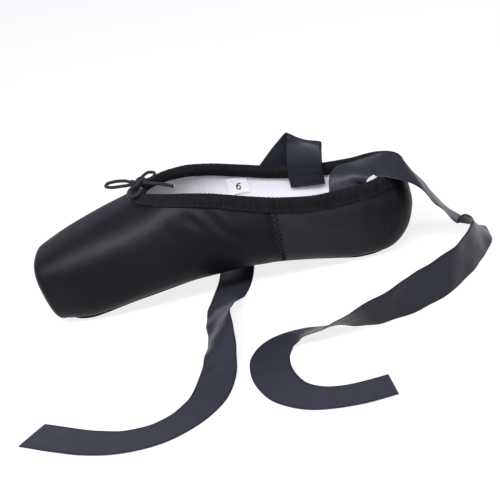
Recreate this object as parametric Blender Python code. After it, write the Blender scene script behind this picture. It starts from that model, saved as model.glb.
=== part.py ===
"""Pointe shoe, empty, standing on its sole.

The shoe is built on the surface of its last. Sections across the shoe follow each other from the toe
platform to the back of the heel, and every piece that touches the upper is worked out from them.
Toe towards -X, heel towards +X, +Z up, floor at z = 0. Lengths are in metres.
"""

import math

import bmesh
import bpy
import numpy as np

# Driving dimensions
SHOE_LENGTH = 0.235
BALL_WIDTH = 0.0745
INSTEP_HEIGHT = 0.0675
HEEL_HEIGHT = 0.0485
ARCH_RISE = 0.0098
PLATFORM_LEAN = 0.0065
PLATFORM_EDGE = 0.0042
LEAN_REACH = 0.75  # share of THROAT_DISTANCE over which the platform's lean fades
FLANK_FULL = 2.3  # exponent of the lower flanks
THROAT_DISTANCE = 0.3213 * SHOE_LENGTH
QUARTER_WALL = 0.0020
BOX_WALL = 0.0030
PLATFORM_WALL = 0.0055
FIT_GAP = 0.0003

HEEL_PLAN_RADIUS = 0.027
HEEL_BASE_RADIUS = 0.026
HEEL_TOP_RADIUS = 0.026

OUTSOLE_THICKNESS = 0.0024
OUTSOLE_START = 0.0110
OUTSOLE_END = SHOE_LENGTH - 0.0185
OUTSOLE_EDGE = 0.0008
INSOLE_THICKNESS = 0.0016
INSOLE_START = 0.030
INSOLE_END = SHOE_LENGTH - 0.039
BOTTOM_OPENING_START = INSOLE_START + 0.015
BOTTOM_OPENING_END = INSOLE_END - 0.010
BOTTOM_OPENING_MARGIN = 0.006
BOTTOM_OPENING_TOE_RADIUS = 0.012
BOTTOM_OPENING_HEEL_RADIUS = 0.008
INSOLE_EDGE = 0.0004
CUT_REACH = 0.002
COLLAR_REACH = 0.012

BINDING_DEPTH = 0.0070
BINDING_INNER_DEPTH = 0.0055
BINDING_THICKNESS = 0.0008
CASING_BULGE = 0.0009
BINDING_GAP = 0.0004

SEAM_WIDTH = 0.0052
SEAM_THICKNESS = 0.0005
SIDE_SEAM_DISTANCE = 0.6404 * SHOE_LENGTH
SEAM_TO_BINDING = 0.0010
LABEL_DISTANCE = 0.5574 * SHOE_LENGTH
LABEL_WIDTH = 0.0136
LABEL_HEIGHT = 0.0125
LABEL_THICKNESS = 0.0004
LABEL_TO_BINDING = 0.0016

DRAWSTRING_DIAMETER = 0.0022
KNOT_SIZE = (0.0066, 0.0056, 0.0050)
KNOT_PLACE = (-0.0430, 0.0, 0.0724)
RIBBON_WIDTH = 0.022
RIBBON_THICKNESS = 0.0006

# Resolution of the faceted surfaces
STATIONS = 38
FLAT_STEPS = 2
LOWER_STEPS = 5
UPPER_STEPS = 10
RIM_STEPS = 84
RIBBON_STEPS = 65
CORD_STEPS = 20
BAND_STEPS = 13
LABEL_ROWS = 4
HEEL_TURN_STEPS = 10
KNOT_STEPS = 12

# Sections of the last. Shares of the shoe's length for "along", of half the ball width for "half_width"
# and "flat", of the instep's height for "belly" (widest level above the sole line) and "crown" (top of the
# closed form above the floor), of BOX_WALL - QUARTER_WALL for "stiff". "full" is the exponent of the sides.
SECTION_COLUMNS = ("along", "half_width", "flat", "belly", "crown", "stiff", "full")
SECTIONS = (
    (0.000, 0.680, 0.330, 0.295, 0.622, 1.00, 2.50),
    (0.035, 0.750, 0.400, 0.315, 0.678, 1.00, 2.45),
    (0.080, 0.830, 0.480, 0.330, 0.745, 1.00, 2.40),
    (0.140, 0.905, 0.560, 0.340, 0.818, 1.00, 2.30),
    (0.210, 0.965, 0.600, 0.345, 0.895, 1.00, 2.25),
    (0.300, 1.000, 0.600, 0.355, 0.978, 0.60, 2.20),
    (0.345, 1.000, 0.580, 0.360, 1.030, 0.35, 2.20),
    (0.395, 0.980, 0.550, 0.365, 1.100, 0.10, 2.20),
    (0.450, 0.955, 0.520, 0.365, 1.150, 0.00, 2.20),
    (0.550, 0.915, 0.470, 0.350, 1.145, 0.00, 2.20),
    (0.660, 0.870, 0.450, 0.345, 1.110, 0.00, 2.20),
    (0.780, 0.815, 0.470, 0.350, 1.080, 0.00, 2.20),
    (0.890, 0.745, 0.460, 0.370, 1.080, 0.00, 2.20),
    (1.000, 0.710, 0.420, 0.400, 1.080, 0.00, 2.20),
)

# Sole line: share of the length, rise as a share of ARCH_RISE
SOLE_COLUMNS = ("along", "rise")
SOLE_LINE = (
    (0.00, 0.00),
    (0.10, 0.00),
    (0.14, 0.10),
    (0.20, 0.34),
    (0.26, 0.58),
    (0.33, 0.80),
    (0.40, 0.94),
    (0.47, 1.00),
    (0.54, 0.97),
    (0.62, 0.82),
    (0.70, 0.54),
    (0.78, 0.22),
    (0.84, 0.00),
    (1.00, 0.00),
)

# Edge of the opening: share of the length behind the throat, height from HEEL_HEIGHT (0) to the last's
# crown at the throat (1)
RIM_COLUMNS = ("behind", "height")
RIM_LINE = (
    (0.00, 0.960),
    (0.07, 0.990),
    (0.15, 0.960),
    (0.25, 0.811),
    (0.37, 0.515),
    (0.52, 0.168),
    (0.66, -0.020),
    (0.80, -0.040),
    (0.91, 0.069),
    (1.00, 0.158),
)

# Outlines of outsole and insole: share of their own length, share of half the ball width
OUTLINE_COLUMNS = ("along", "half_width")
OUTSOLE_OUTLINE = (
    (0.00, 0.470),
    (0.14, 0.545),
    (0.28, 0.565),
    (0.42, 0.480),
    (0.58, 0.395),
    (0.74, 0.390),
    (0.88, 0.425),
    (1.00, 0.415),
)
OUTSOLE_TOE_RADIUS = 0.017
OUTSOLE_HEEL_RADIUS = 0.016
INSOLE_OUTLINE = (
    (0.00, 0.550),
    (0.30, 0.585),
    (0.55, 0.510),
    (0.75, 0.500),
    (0.90, 0.505),
    (1.00, 0.480),
)
INSOLE_TOE_RADIUS = 0.016
INSOLE_HEEL_RADIUS = 0.011

# Section of the binding: distance below the edge as a share of its depth on that side, height over the
# wall as a count of binding thicknesses, share of the casing's bulge. Outer side first.
BINDING_COLUMNS = ("below", "layers", "bulge")
BINDING_OUTER = (
    (1.00, 0.0, 0.0),
    (1.00, 1.0, 0.0),
    (0.55, 1.0, 0.15),
    (0.15, 1.0, 0.90),
    (-0.14, 0.6, 0.70),
)
BINDING_INNER = (
    (-0.18, 0.6, 0.70),
    (0.20, 1.0, 0.80),
    (0.60, 1.0, 0.10),
    (1.00, 1.0, 0.0),
    (1.00, 0.0, 0.0),
)

# Routes of the ribbons: middle of the ribbon, direction across it, rise of its middle over its edges.
# Sewn end first.
RIBBON_COLUMNS = ("x", "y", "z", "across_x", "across_y", "across_z", "crown")
RIBBON_NEAR_ROUTE = (
    (0.0790, -0.0246, 0.0370, 1.00, 0.10, 0.00, 0.0000),
    (0.0790, -0.0236, 0.0420, 1.00, 0.10, 0.00, 0.0000),
    (0.0793, -0.0209, 0.0475, 1.00, 0.11, -0.03, 0.0000),
    (0.0806, -0.0188, 0.0520, 0.97, -0.10, -0.15, 0.0004),
    (0.0850, -0.0162, 0.0550, 0.72, -0.60, -0.28, 0.0008),
    (0.0905, -0.0138, 0.0556, 0.42, -0.86, -0.22, 0.0010),
    (0.0965, -0.0124, 0.0554, 0.22, -0.95, -0.20, 0.0010),
    (0.1045, -0.0145, 0.0552, 0.15, -0.92, -0.36, 0.0010),
    (0.1120, -0.0175, 0.0518, 0.12, -0.85, -0.45, 0.0010),
    (0.1188, -0.0175, 0.0455, 0.10, -0.92, -0.36, 0.0008),
    (0.1240, -0.0152, 0.0372, 0.06, -0.97, -0.22, 0.0008),
    (0.1298, -0.0122, 0.0262, 0.00, -1.00, -0.05, 0.0004),
    (0.1370, -0.0108, 0.0145, -0.10, -0.98, 0.10, 0.0000),
    (0.1440, -0.0125, 0.0074, -0.30, -0.90, 0.28, 0.0000),
    (0.1490, -0.0190, 0.0064, -0.52, -0.55, 0.60, 0.0000),
    (0.1508, -0.0320, 0.0090, -0.50, -0.15, 0.84, 0.0000),
    (0.1470, -0.0500, 0.0110, -0.20, 0.10, 0.97, 0.0000),
    (0.1380, -0.0680, 0.0112, 0.00, 0.15, 0.99, 0.0000),
    (0.1260, -0.0840, 0.0110, 0.12, 0.25, 0.96, 0.0000),
    (0.1115, -0.0960, 0.0105, 0.23, 0.36, 0.90, 0.0000),
    (0.0935, -0.1090, 0.0112, 0.14, -0.05, 0.98, 0.0000),
    (0.0800, -0.1150, 0.0105, 0.18, -0.35, 0.92, 0.0000),
    (0.0645, -0.1150, 0.0084, 0.05, -0.70, 0.71, 0.0000),
    (0.0500, -0.1110, 0.0054, 0.00, -0.90, 0.43, 0.0000),
    (0.0350, -0.1070, 0.0026, 0.05, -0.98, 0.18, 0.0000),
    (0.0240, -0.1100, 0.0012, 0.45, -0.89, 0.05, 0.0000),
    (0.0180, -0.1200, 0.0006, 0.90, -0.43, 0.00, 0.0000),
    (0.0170, -0.1350, 0.0006, 1.00, 0.05, 0.00, 0.0000),
    (0.0200, -0.1510, 0.0006, 0.95, 0.31, 0.00, 0.0000),
    (0.0270, -0.1660, 0.0006, 0.80, 0.60, 0.00, 0.0000),
    (0.0400, -0.1765, 0.0006, 0.42, 0.91, 0.00, 0.0000),
    (0.0580, -0.1800, 0.0006, 0.05, 1.00, 0.00, 0.0000),
    (0.0770, -0.1780, 0.0006, -0.12, 0.99, 0.00, 0.0000),
)
RIBBON_FAR_ROUTE = (
    (0.0570, 0.0268, 0.0370, 1.00, -0.09, 0.00, 0.0000),
    (0.0570, 0.0254, 0.0425, 1.00, -0.09, 0.00, 0.0000),
    (0.0572, 0.0232, 0.0490, 0.99, -0.08, -0.05, 0.0000),
    (0.0580, 0.0230, 0.0550, 0.98, -0.06, -0.15, 0.0000),
    (0.0592, 0.0250, 0.0615, 0.95, -0.03, -0.32, 0.0000),
    (0.0605, 0.0284, 0.0665, 0.90, 0.00, -0.43, 0.0000),
    (0.0590, 0.0318, 0.0660, 0.85, 0.00, -0.53, 0.0000),
    (0.0540, 0.0346, 0.0615, 0.75, 0.00, -0.66, 0.0000),
    (0.0440, 0.0380, 0.0520, 0.68, 0.00, -0.73, 0.0000),
    (0.0310, 0.0415, 0.0390, 0.68, 0.00, -0.73, 0.0000),
    (0.0190, 0.0440, 0.0260, 0.74, 0.00, -0.67, 0.0000),
    (0.0100, 0.0450, 0.0140, 0.88, 0.00, -0.48, 0.0000),
    (0.0050, 0.0435, 0.0055, 0.97, 0.00, -0.24, 0.0000),
    (0.0032, 0.0370, 0.0012, 1.00, 0.00, -0.05, 0.0000),
    (0.0028, 0.0250, 0.0006, 1.00, 0.00, 0.00, 0.0000),
    (0.0025, 0.0080, 0.0006, 1.00, -0.05, 0.00, 0.0000),
    (0.0008, -0.0120, 0.0006, 0.99, -0.12, 0.00, 0.0000),
    (-0.0025, -0.0300, 0.0008, 0.98, -0.18, 0.02, 0.0000),
    (-0.0060, -0.0480, 0.0028, 0.96, -0.16, 0.20, 0.0000),
    (-0.0080, -0.0660, 0.0060, 0.86, -0.10, 0.50, 0.0000),
    (-0.0085, -0.0850, 0.0080, 0.75, -0.05, 0.66, 0.0000),
    (-0.0088, -0.1040, 0.0068, 0.84, 0.00, 0.54, 0.0000),
    (-0.0100, -0.1220, 0.0036, 0.95, 0.00, 0.28, 0.0000),
    (-0.0130, -0.1400, 0.0010, 0.98, -0.20, 0.04, 0.0000),
    (-0.0185, -0.1560, 0.0006, 0.90, -0.44, 0.00, 0.0000),
    (-0.0290, -0.1695, 0.0006, 0.70, -0.71, 0.00, 0.0000),
    (-0.0440, -0.1780, 0.0006, 0.35, -0.94, 0.00, 0.0000),
    (-0.0620, -0.1785, 0.0006, -0.08, -1.00, 0.00, 0.0000),
    (-0.0795, -0.1720, 0.0006, -0.42, -0.91, 0.00, 0.0000),
    (-0.0960, -0.1620, 0.0006, -0.52, -0.85, 0.00, 0.0000),
    (-0.1110, -0.1520, 0.0006, -0.55, -0.84, 0.00, 0.0000),
)

# Routes of the drawstring's loops and ends from the knot, as x, y, z
BOW_ROUTES = {
    "bow_loop_toe": (
        (-0.0468, 0.0012, 0.0730),
        (-0.0505, 0.0028, 0.0742),
        (-0.0568, 0.0038, 0.0750),
        (-0.0616, 0.0024, 0.0752),
        (-0.0626, -0.0006, 0.0747),
        (-0.0592, -0.0030, 0.0741),
        (-0.0530, -0.0032, 0.0735),
        (-0.0468, -0.0016, 0.0725),
    ),
    "bow_loop_far": (
        (-0.0416, 0.0030, 0.0733),
        (-0.0394, 0.0064, 0.0742),
        (-0.0364, 0.0092, 0.0744),
        (-0.0334, 0.0090, 0.0736),
        (-0.0332, 0.0060, 0.0726),
        (-0.0356, 0.0034, 0.0722),
        (-0.0388, 0.0012, 0.0724),
    ),
    "bow_end_heel": (
        (-0.0392, -0.0020, 0.0720),
        (-0.0350, -0.0030, 0.0712),
        (-0.0285, -0.0030, 0.0690),
        (-0.0222, -0.0024, 0.0660),
    ),
    "bow_end_near": (
        (-0.0440, -0.0036, 0.0722),
        (-0.0470, -0.0060, 0.0718),
        (-0.0490, -0.0092, 0.0708),
        (-0.0484, -0.0124, 0.0696),
        (-0.0454, -0.0138, 0.0692),
        (-0.0424, -0.0124, 0.0700),
        (-0.0412, -0.0092, 0.0712),
    ),
}


def column(rows, columns, name):
    """One named column of a table."""
    return np.array([row[columns.index(name)] for row in rows], dtype=float)


def smooth(at, knots, values):
    """Cubic through the table's rows, with slopes limited so that it does not swing past them."""
    at = np.clip(np.asarray(at, dtype=float), knots[0], knots[-1])
    step = np.diff(knots)
    slope = np.diff(values) / step
    product = slope[:-1] * slope[1:]
    inner = np.where(product > 0, 2 * product / (slope[:-1] + slope[1:] + 1e-12), 0)
    tangent = np.concatenate(([slope[0]], inner, [slope[-1]]))
    index = np.clip(np.searchsorted(knots, at, side="right") - 1, 0, len(step) - 1)
    t = (at - knots[index]) / step[index]
    return (
        values[index] * (2 * t**3 - 3 * t**2 + 1)
        + tangent[index] * step[index] * (t**3 - 2 * t**2 + t)
        + values[index + 1] * (3 * t**2 - 2 * t**3)
        + tangent[index + 1] * step[index] * (t**3 - t**2)
    )


def read_section(distance, name):
    """A column of the section table at a distance from the toe."""
    along = np.asarray(distance) / SHOE_LENGTH
    return smooth(along, column(SECTIONS, SECTION_COLUMNS, "along"), column(SECTIONS, SECTION_COLUMNS, name))


def round_end(distance, end, radius):
    """Factor from 1 down to 0 that closes a form with a round end."""
    past = np.clip((np.asarray(distance) - (end - radius)) / radius, 0, 1)
    return np.sqrt(np.maximum(1 - past**2, 0))


def sole_height(distance):
    """Height of the outsole's underside, before the heel's round base."""
    along = np.asarray(distance) / SHOE_LENGTH
    rise = smooth(along, column(SOLE_LINE, SOLE_COLUMNS, "along"), column(SOLE_LINE, SOLE_COLUMNS, "rise"))
    return rise * ARCH_RISE


def section(distance, inset=0.0):
    """Sizes of the last's section at a distance from the toe, drawn in by inset."""
    distance = np.asarray(distance, dtype=float)
    half_ball = BALL_WIDTH / 2
    end = SHOE_LENGTH - inset
    seat = sole_height(distance) + OUTSOLE_THICKNESS + FIT_GAP
    plan = round_end(distance, end, HEEL_PLAN_RADIUS - inset)
    belly = seat + read_section(distance, "belly") * INSTEP_HEIGHT
    crown = read_section(distance, "crown") * INSTEP_HEIGHT
    return {
        "half": (read_section(distance, "half_width") * half_ball - inset) * plan,
        "flat": read_section(distance, "flat") * half_ball * plan,
        "belly": belly,
        "down": (belly - seat - inset) * round_end(distance, end, HEEL_BASE_RADIUS - inset),
        "up": (crown - belly - inset) * round_end(distance, end, HEEL_TOP_RADIUS - inset),
        "full": read_section(distance, "full"),
    }


def wall(distance):
    """Thickness of the upper's wall at a distance from the toe."""
    return QUARTER_WALL + (BOX_WALL - QUARTER_WALL) * read_section(distance, "stiff")


def corner(angle, across, high, full):
    """Quarter of a superellipse: radius that reaches across and high at its ends."""
    c = np.cos(angle)
    s = np.sin(angle)
    radius = ((c / across) ** full + (s / high) ** full) ** (-1 / full)
    return radius * c, radius * s


def half_section(size):
    """Points of one half section from the bottom's middle to the crown, as (y, z) rows."""
    flat = size["flat"]
    lower = np.linspace(math.pi / 2, 0, LOWER_STEPS + 1)
    upper = np.linspace(0, math.pi / 2, UPPER_STEPS + 1)[1:]
    low_y, low_z = corner(lower, size["half"] - flat, size["down"], FLANK_FULL)
    high_y, high_z = corner(upper, size["half"], size["up"], size["full"])
    flat_y = np.linspace(0, flat, FLAT_STEPS + 1)[:-1]
    y = np.concatenate((flat_y, flat + low_y, high_y))
    z = np.concatenate((np.full(FLAT_STEPS, -size["down"]), -low_z, high_z)) + size["belly"]
    y[-1] = 0.0
    return np.column_stack((y, z))


def foot_lean(distance):
    """How far the sole of a section stands behind its top: all of the lean at the platform, none at the throat."""
    fade = np.clip(1 - distance / (LEAN_REACH * THROAT_DISTANCE), 0, 1)
    return PLATFORM_LEAN * fade * fade * (3 - 2 * fade)


def lean(distance, z, size):
    """Forward lean of the toe at a height."""
    low = size["belly"] - size["down"]
    high = size["belly"] + size["up"]
    return foot_lean(distance) * (1 - (z - low) / np.maximum(high - low, 1e-6))


def to_x(distance):
    """Place along X of a distance from the toe."""
    return distance - SHOE_LENGTH / 2


def ring(distance, inset, draw_in=0.0):
    """Closed ring of points around the last at a distance from the toe."""
    size = {key: float(value) for key, value in section(distance, inset).items()}
    for key in ("half", "down", "up"):
        size[key] = size[key] - draw_in
    size["flat"] = min(size["flat"], size["half"] * 0.8)
    half = half_section(size)
    x = to_x(distance + lean(distance, half[:, 1], size))
    right = np.column_stack((x, half))
    left = right[-2:0:-1] * np.array((1.0, -1.0, 1.0))
    return np.vstack((right, left))


def last_stations(start, end):
    """Distances of the sections: close together where the form turns, at the throat and at the heel."""
    knots = np.array((0.0, 0.16, 0.40, 0.80, 1.0))
    share = np.array((0.0, 0.20, 0.47, 0.80, 1.0))
    body_end = end - HEEL_BASE_RADIUS
    even = np.linspace(0, 1, STATIONS - HEEL_TURN_STEPS + 1)
    body = start + (body_end - start) * np.interp(even, share, knots)
    turn = np.linspace(0, math.pi / 2, HEEL_TURN_STEPS)[1:-1]
    heel = body_end + HEEL_BASE_RADIUS * np.sin(turn)
    return np.concatenate((body, heel, [end - 0.00012]))


def last_form(name, inset_of, start, end, edge):
    """Closed form of the last, from the platform to the heel."""
    rings = []
    for turn in np.linspace(0, math.pi / 2, 4)[:-1]:
        distance = start + edge * (1 - math.cos(turn))
        rings.append(ring(distance, inset_of(distance), edge * (1 - math.sin(turn))))
    for distance in last_stations(start + edge, end):
        rings.append(ring(distance, inset_of(distance)))
    return loft(name, rings)


def loft(name, rings):
    """Closed mesh through rings of equal count, with flat caps."""
    count = len(rings[0])
    points = np.vstack(rings)
    faces = []
    for row in range(len(rings) - 1):
        for k in range(count):
            a = row * count + k
            b = row * count + (k + 1) % count
            faces.append((a, b, b + count, a + count))
    faces.append(tuple(range(count)))
    last = (len(rings) - 1) * count
    faces.append(tuple(range(last, last + count)))
    return solid(name, points, faces)


def solid(name, points, faces):
    """Mesh object of a closed body, its faces turned outwards."""
    mesh = bpy.data.meshes.new(name)
    mesh.from_pydata([tuple(point) for point in points], [], faces)
    shape = bmesh.new()
    shape.from_mesh(mesh)
    bmesh.ops.recalc_face_normals(shape, faces=shape.faces)
    shape.to_mesh(mesh)
    shape.free()
    made = bpy.data.objects.new(name, mesh)
    bpy.context.collection.objects.link(made)
    return made


def cut(target, cutter):
    """Take the cutter's form away from the target."""
    cutter.hide_render = True
    cutter.display_type = "WIRE"
    modifier = target.modifiers.new(cutter.name, "BOOLEAN")
    modifier.operation = "DIFFERENCE"
    modifier.object = cutter


def finish(target, colour, roughness, smooth_angle=40):
    """Give the piece its own material and smooth shading."""
    material = bpy.data.materials.new(target.name)
    material.use_nodes = True
    shader = material.node_tree.nodes["Principled BSDF"]
    shader.inputs["Base Color"].default_value = (*colour, 1)
    shader.inputs["Roughness"].default_value = roughness
    target.data.materials.append(material)
    if target.type == "MESH":
        target.data.shade_smooth()
        target.data.set_sharp_from_angle(angle=math.radians(smooth_angle))
    return target


def surface_value(points, inner):
    """How far the points lie outside the upper half of the wall's outer or inner side: 0 on it."""
    distance = points[:, 0] + SHOE_LENGTH / 2
    size = section(distance, wall(distance) if inner else 0.0)
    half = np.maximum(size["half"], 1e-5)
    up = np.maximum(size["up"], 1e-5)
    y = np.abs(points[:, 1]) / half
    z = np.maximum(points[:, 2] - size["belly"], 0) / up
    return (y ** size["full"] + z ** size["full"]) ** (1 / size["full"]) - 1


def surface_slope(points, inner):
    """Direction and steepness of surface_value, by differences."""
    reach = 2e-5
    slope = np.zeros_like(points)
    for axis in range(3):
        shift = np.zeros(3)
        shift[axis] = reach
        change = surface_value(points + shift, inner) - surface_value(points - shift, inner)
        slope[:, axis] = change / (2 * reach)
    return slope


def drop_on(points, inner=False):
    """Points brought straight onto the wall's outer or inner side, with its outward normals."""
    limit = to_x(SHOE_LENGTH - (QUARTER_WALL if inner else 0.0) - 0.0001)
    for _ in range(8):
        slope = surface_slope(points, inner)
        value = surface_value(points, inner)
        points = points - slope * (value / np.sum(slope**2, axis=1))[:, None]
        points[:, 0] = np.minimum(points[:, 0], limit)
    slope = surface_slope(points, inner)
    return points, slope / np.linalg.norm(slope, axis=1)[:, None]


def rim_height(distance):
    """Height of the opening's edge at a distance from the toe."""
    behind = (np.asarray(distance) - THROAT_DISTANCE) / (SHOE_LENGTH - THROAT_DISTANCE)
    share = smooth(behind, column(RIM_LINE, RIM_COLUMNS, "behind"), column(RIM_LINE, RIM_COLUMNS, "height"))
    throat_crown = float(read_section(THROAT_DISTANCE, "crown")) * INSTEP_HEIGHT
    return HEEL_HEIGHT + share * (throat_crown - HEEL_HEIGHT)


def rim_end():
    """Distance from the toe at which the edge of the opening passes the back of the heel."""
    low = SHOE_LENGTH - HEEL_TOP_RADIUS
    high = SHOE_LENGTH
    for _ in range(40):
        middle = (low + high) / 2
        size = section(middle)
        if size["belly"] + size["up"] > rim_height(middle):
            low = middle
        else:
            high = middle
    return low


def rim_side(distance):
    """Half width of the opening's edge at a distance from the toe."""
    size = section(distance)
    high = np.clip((rim_height(distance) - size["belly"]) / size["up"], 0, 1)
    return size["half"] * (1 - high ** size["full"]) ** (1 / size["full"])


def rim_points(count):
    """Evenly spaced points round the opening's edge, from the throat over the far side."""
    fine = np.linspace(0, 2 * math.pi, 1201)
    front = THROAT_DISTANCE
    back = rim_end()
    distance = (front + back) / 2 - (back - front) / 2 * np.cos(fine)
    y = rim_side(distance) * np.where(fine <= math.pi, 1, -1)
    y[[0, 600, 1200]] = 0
    path = np.column_stack((to_x(distance), y, rim_height(distance)))
    length = np.concatenate(([0], np.cumsum(np.linalg.norm(np.diff(path, axis=0), axis=1))))
    even = np.linspace(0, length[-1], count + 1)[:-1]
    return np.column_stack([np.interp(even, length, path[:, axis]) for axis in range(3)])


def rim_frame(count):
    """Points of the edge with the directions out of the wall and down the wall."""
    edge, outward = drop_on(rim_points(count))
    ahead = np.roll(edge, -1, axis=0) - np.roll(edge, 1, axis=0)
    down = np.cross(outward, ahead)
    down /= np.linalg.norm(down, axis=1)[:, None]
    down *= np.where(down[:, 2] > 0, -1, 1)[:, None]
    return edge, outward, down


def collar_cutter():
    """Everything above the opening's edge, cut square to the wall."""
    edge, outward, _ = rim_frame(RIM_STEPS)
    inside = edge - outward * (BOX_WALL + CUT_REACH)
    outside = edge + outward * COLLAR_REACH
    above = outside.copy()
    above[:, 2] = 1.5 * INSTEP_HEIGHT
    middle = inside.mean(axis=0)
    rings = [(inside + middle) / 2, inside, outside, above]
    return loft("collar_cut", rings)


def outline_width(distance, start, end, outline, toe_radius, heel_radius):
    """Half width of a sole piece at a distance from the toe, with round ends."""
    share = (distance - start) / (end - start)
    width = smooth(share, column(outline, OUTLINE_COLUMNS, "along"), column(outline, OUTLINE_COLUMNS, "half_width"))
    toe = np.clip((start + toe_radius - distance) / toe_radius, 0, 1)
    heel = np.clip((distance - end + heel_radius) / heel_radius, 0, 1)
    return width * BALL_WIDTH / 2 * np.sqrt(np.maximum(1 - toe**2.4, 0) * np.maximum(1 - heel**2.4, 0))


def sole_stations(start, end, toe_radius, heel_radius, body):
    """Distances along a sole piece, close together at its round ends."""
    turn = np.linspace(0.12, math.pi / 2, 8)
    toe = start + toe_radius * (1 - np.cos(turn))
    heel = end - heel_radius * (1 - np.cos(turn[::-1]))
    between = np.linspace(start + toe_radius, end - heel_radius, body)[1:-1]
    return np.concatenate((toe, between, heel))


def sole_piece(name, distances, widths, low, high, edge):
    """Flat piece that follows the arch, its rims rounded by edge."""
    rings = []
    for distance, width, z_low, z_high in zip(distances, widths, low, high):
        x = to_x(distance)
        soft = min(edge, width * 0.4)
        rings.append(
            np.array(
                (
                    (x, width - soft, z_low),
                    (x, width, z_low + edge),
                    (x, width, z_high - edge),
                    (x, width - soft, z_high),
                    (x, 0.0, z_high),
                    (x, soft - width, z_high),
                    (x, -width, z_high - edge),
                    (x, -width, z_low + edge),
                    (x, soft - width, z_low),
                    (x, 0.0, z_low),
                )
            )
        )
    return loft(name, rings)


def underside(distance):
    """Height of the upper's underside at a place along the sole."""
    leaning = distance
    for _ in range(12):
        leaning = distance - foot_lean(leaning)
    size = section(leaning)
    return size["belly"] - size["down"]


def make_outsole():
    """Leather outsole under ball, arch and heel."""
    distances = sole_stations(OUTSOLE_START, OUTSOLE_END, OUTSOLE_TOE_RADIUS, OUTSOLE_HEEL_RADIUS, 24)
    widths = outline_width(
        distances, OUTSOLE_START, OUTSOLE_END, OUTSOLE_OUTLINE, OUTSOLE_TOE_RADIUS, OUTSOLE_HEEL_RADIUS
    )
    high = underside(distances) - FIT_GAP
    low = high - OUTSOLE_THICKNESS
    return finish(sole_piece("outsole", distances, widths, low, high, OUTSOLE_EDGE), (0.05, 0.045, 0.045), 0.75)


def make_insole():
    """Sock that lies on the upper's floor and hides its opening."""
    distances = sole_stations(INSOLE_START, INSOLE_END, INSOLE_TOE_RADIUS, INSOLE_HEEL_RADIUS, 22)
    widths = outline_width(
        distances, INSOLE_START, INSOLE_END, INSOLE_OUTLINE, INSOLE_TOE_RADIUS, INSOLE_HEEL_RADIUS
    )
    low = underside(distances) + wall(distances) + 2 * FIT_GAP
    high = low + INSOLE_THICKNESS
    return finish(sole_piece("insole", distances, widths, low, high, INSOLE_EDGE), (0.66, 0.67, 0.62), 0.6)


def bottom_cutter():
    """Opening in the upper's underside, inside the outsole's outline."""
    distances = sole_stations(
        BOTTOM_OPENING_START, BOTTOM_OPENING_END, BOTTOM_OPENING_TOE_RADIUS, BOTTOM_OPENING_HEEL_RADIUS, 14
    )
    widths = outline_width(
        distances, OUTSOLE_START, OUTSOLE_END, OUTSOLE_OUTLINE, OUTSOLE_TOE_RADIUS, OUTSOLE_HEEL_RADIUS
    )
    toe = np.clip((BOTTOM_OPENING_START - distances) / BOTTOM_OPENING_TOE_RADIUS + 1, 0, 1)
    heel = np.clip((distances - BOTTOM_OPENING_END) / BOTTOM_OPENING_HEEL_RADIUS + 1, 0, 1)
    widths = (widths - BOTTOM_OPENING_MARGIN) * np.sqrt((1 - toe**2) * (1 - heel**2))
    low = underside(distances) - CUT_REACH
    high = underside(distances) + BOX_WALL + CUT_REACH
    return sole_piece("bottom_cut", distances, widths, low, high, INSOLE_EDGE)


def make_upper():
    """Hollow upper: the last's outer form, less its inner form, the opening and the underside."""
    upper = last_form("upper", lambda distance: 0.0, 0.0, SHOE_LENGTH, PLATFORM_EDGE)
    inner = last_form("cavity", wall, PLATFORM_WALL, SHOE_LENGTH - QUARTER_WALL, PLATFORM_EDGE)
    for cutter in (inner, collar_cutter(), bottom_cutter()):
        cut(upper, cutter)
    return finish(upper, (0.014, 0.014, 0.017), 0.42, smooth_angle=50)


def binding_row(edge, outward, down, row, inner):
    """One line of the binding's section, carried round the opening."""
    line = dict(zip(BINDING_COLUMNS, row))
    below = line["below"]
    height = line["layers"] * BINDING_THICKNESS + line["bulge"] * CASING_BULGE + BINDING_GAP
    if inner:
        wall_here = wall(edge[:, 0] + SHOE_LENGTH / 2)
        start = edge - outward * wall_here[:, None] + down * (below * BINDING_INNER_DEPTH)
        placed, normal = drop_on(start, inner=True)
        return placed - normal * height
    placed, normal = drop_on(edge + down * (below * BINDING_DEPTH))
    return placed + normal * height


def make_binding():
    """Folded tape over the edge of the opening, thicker along the edge where it holds the drawstring."""
    edge, outward, down = rim_frame(RIM_STEPS)
    wall_here = wall(edge[:, 0] + SHOE_LENGTH / 2)[:, None]
    lines = [binding_row(edge, outward, down, row, False) for row in BINDING_OUTER]
    lines.append(edge - down * (BINDING_GAP + BINDING_THICKNESS + CASING_BULGE) - outward * wall_here / 2)
    lines += [binding_row(edge, outward, down, row, True) for row in BINDING_INNER]
    lines.append(edge - down * BINDING_GAP - outward * (wall_here + BINDING_GAP))
    lines.append(edge - down * BINDING_GAP + outward * BINDING_GAP)
    return finish(tube_around("binding", lines), (0.018, 0.018, 0.018), 0.85)


def tube_around(name, lines):
    """Closed band whose section is carried once round: each line is one closed path."""
    count = len(lines[0])
    total = len(lines)
    points = np.vstack(lines)
    faces = []
    for row in range(total):
        after = (row + 1) % total
        for k in range(count):
            b = (k + 1) % count
            faces.append((row * count + k, row * count + b, after * count + b, after * count + k))
    return solid(name, points, faces)


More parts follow.
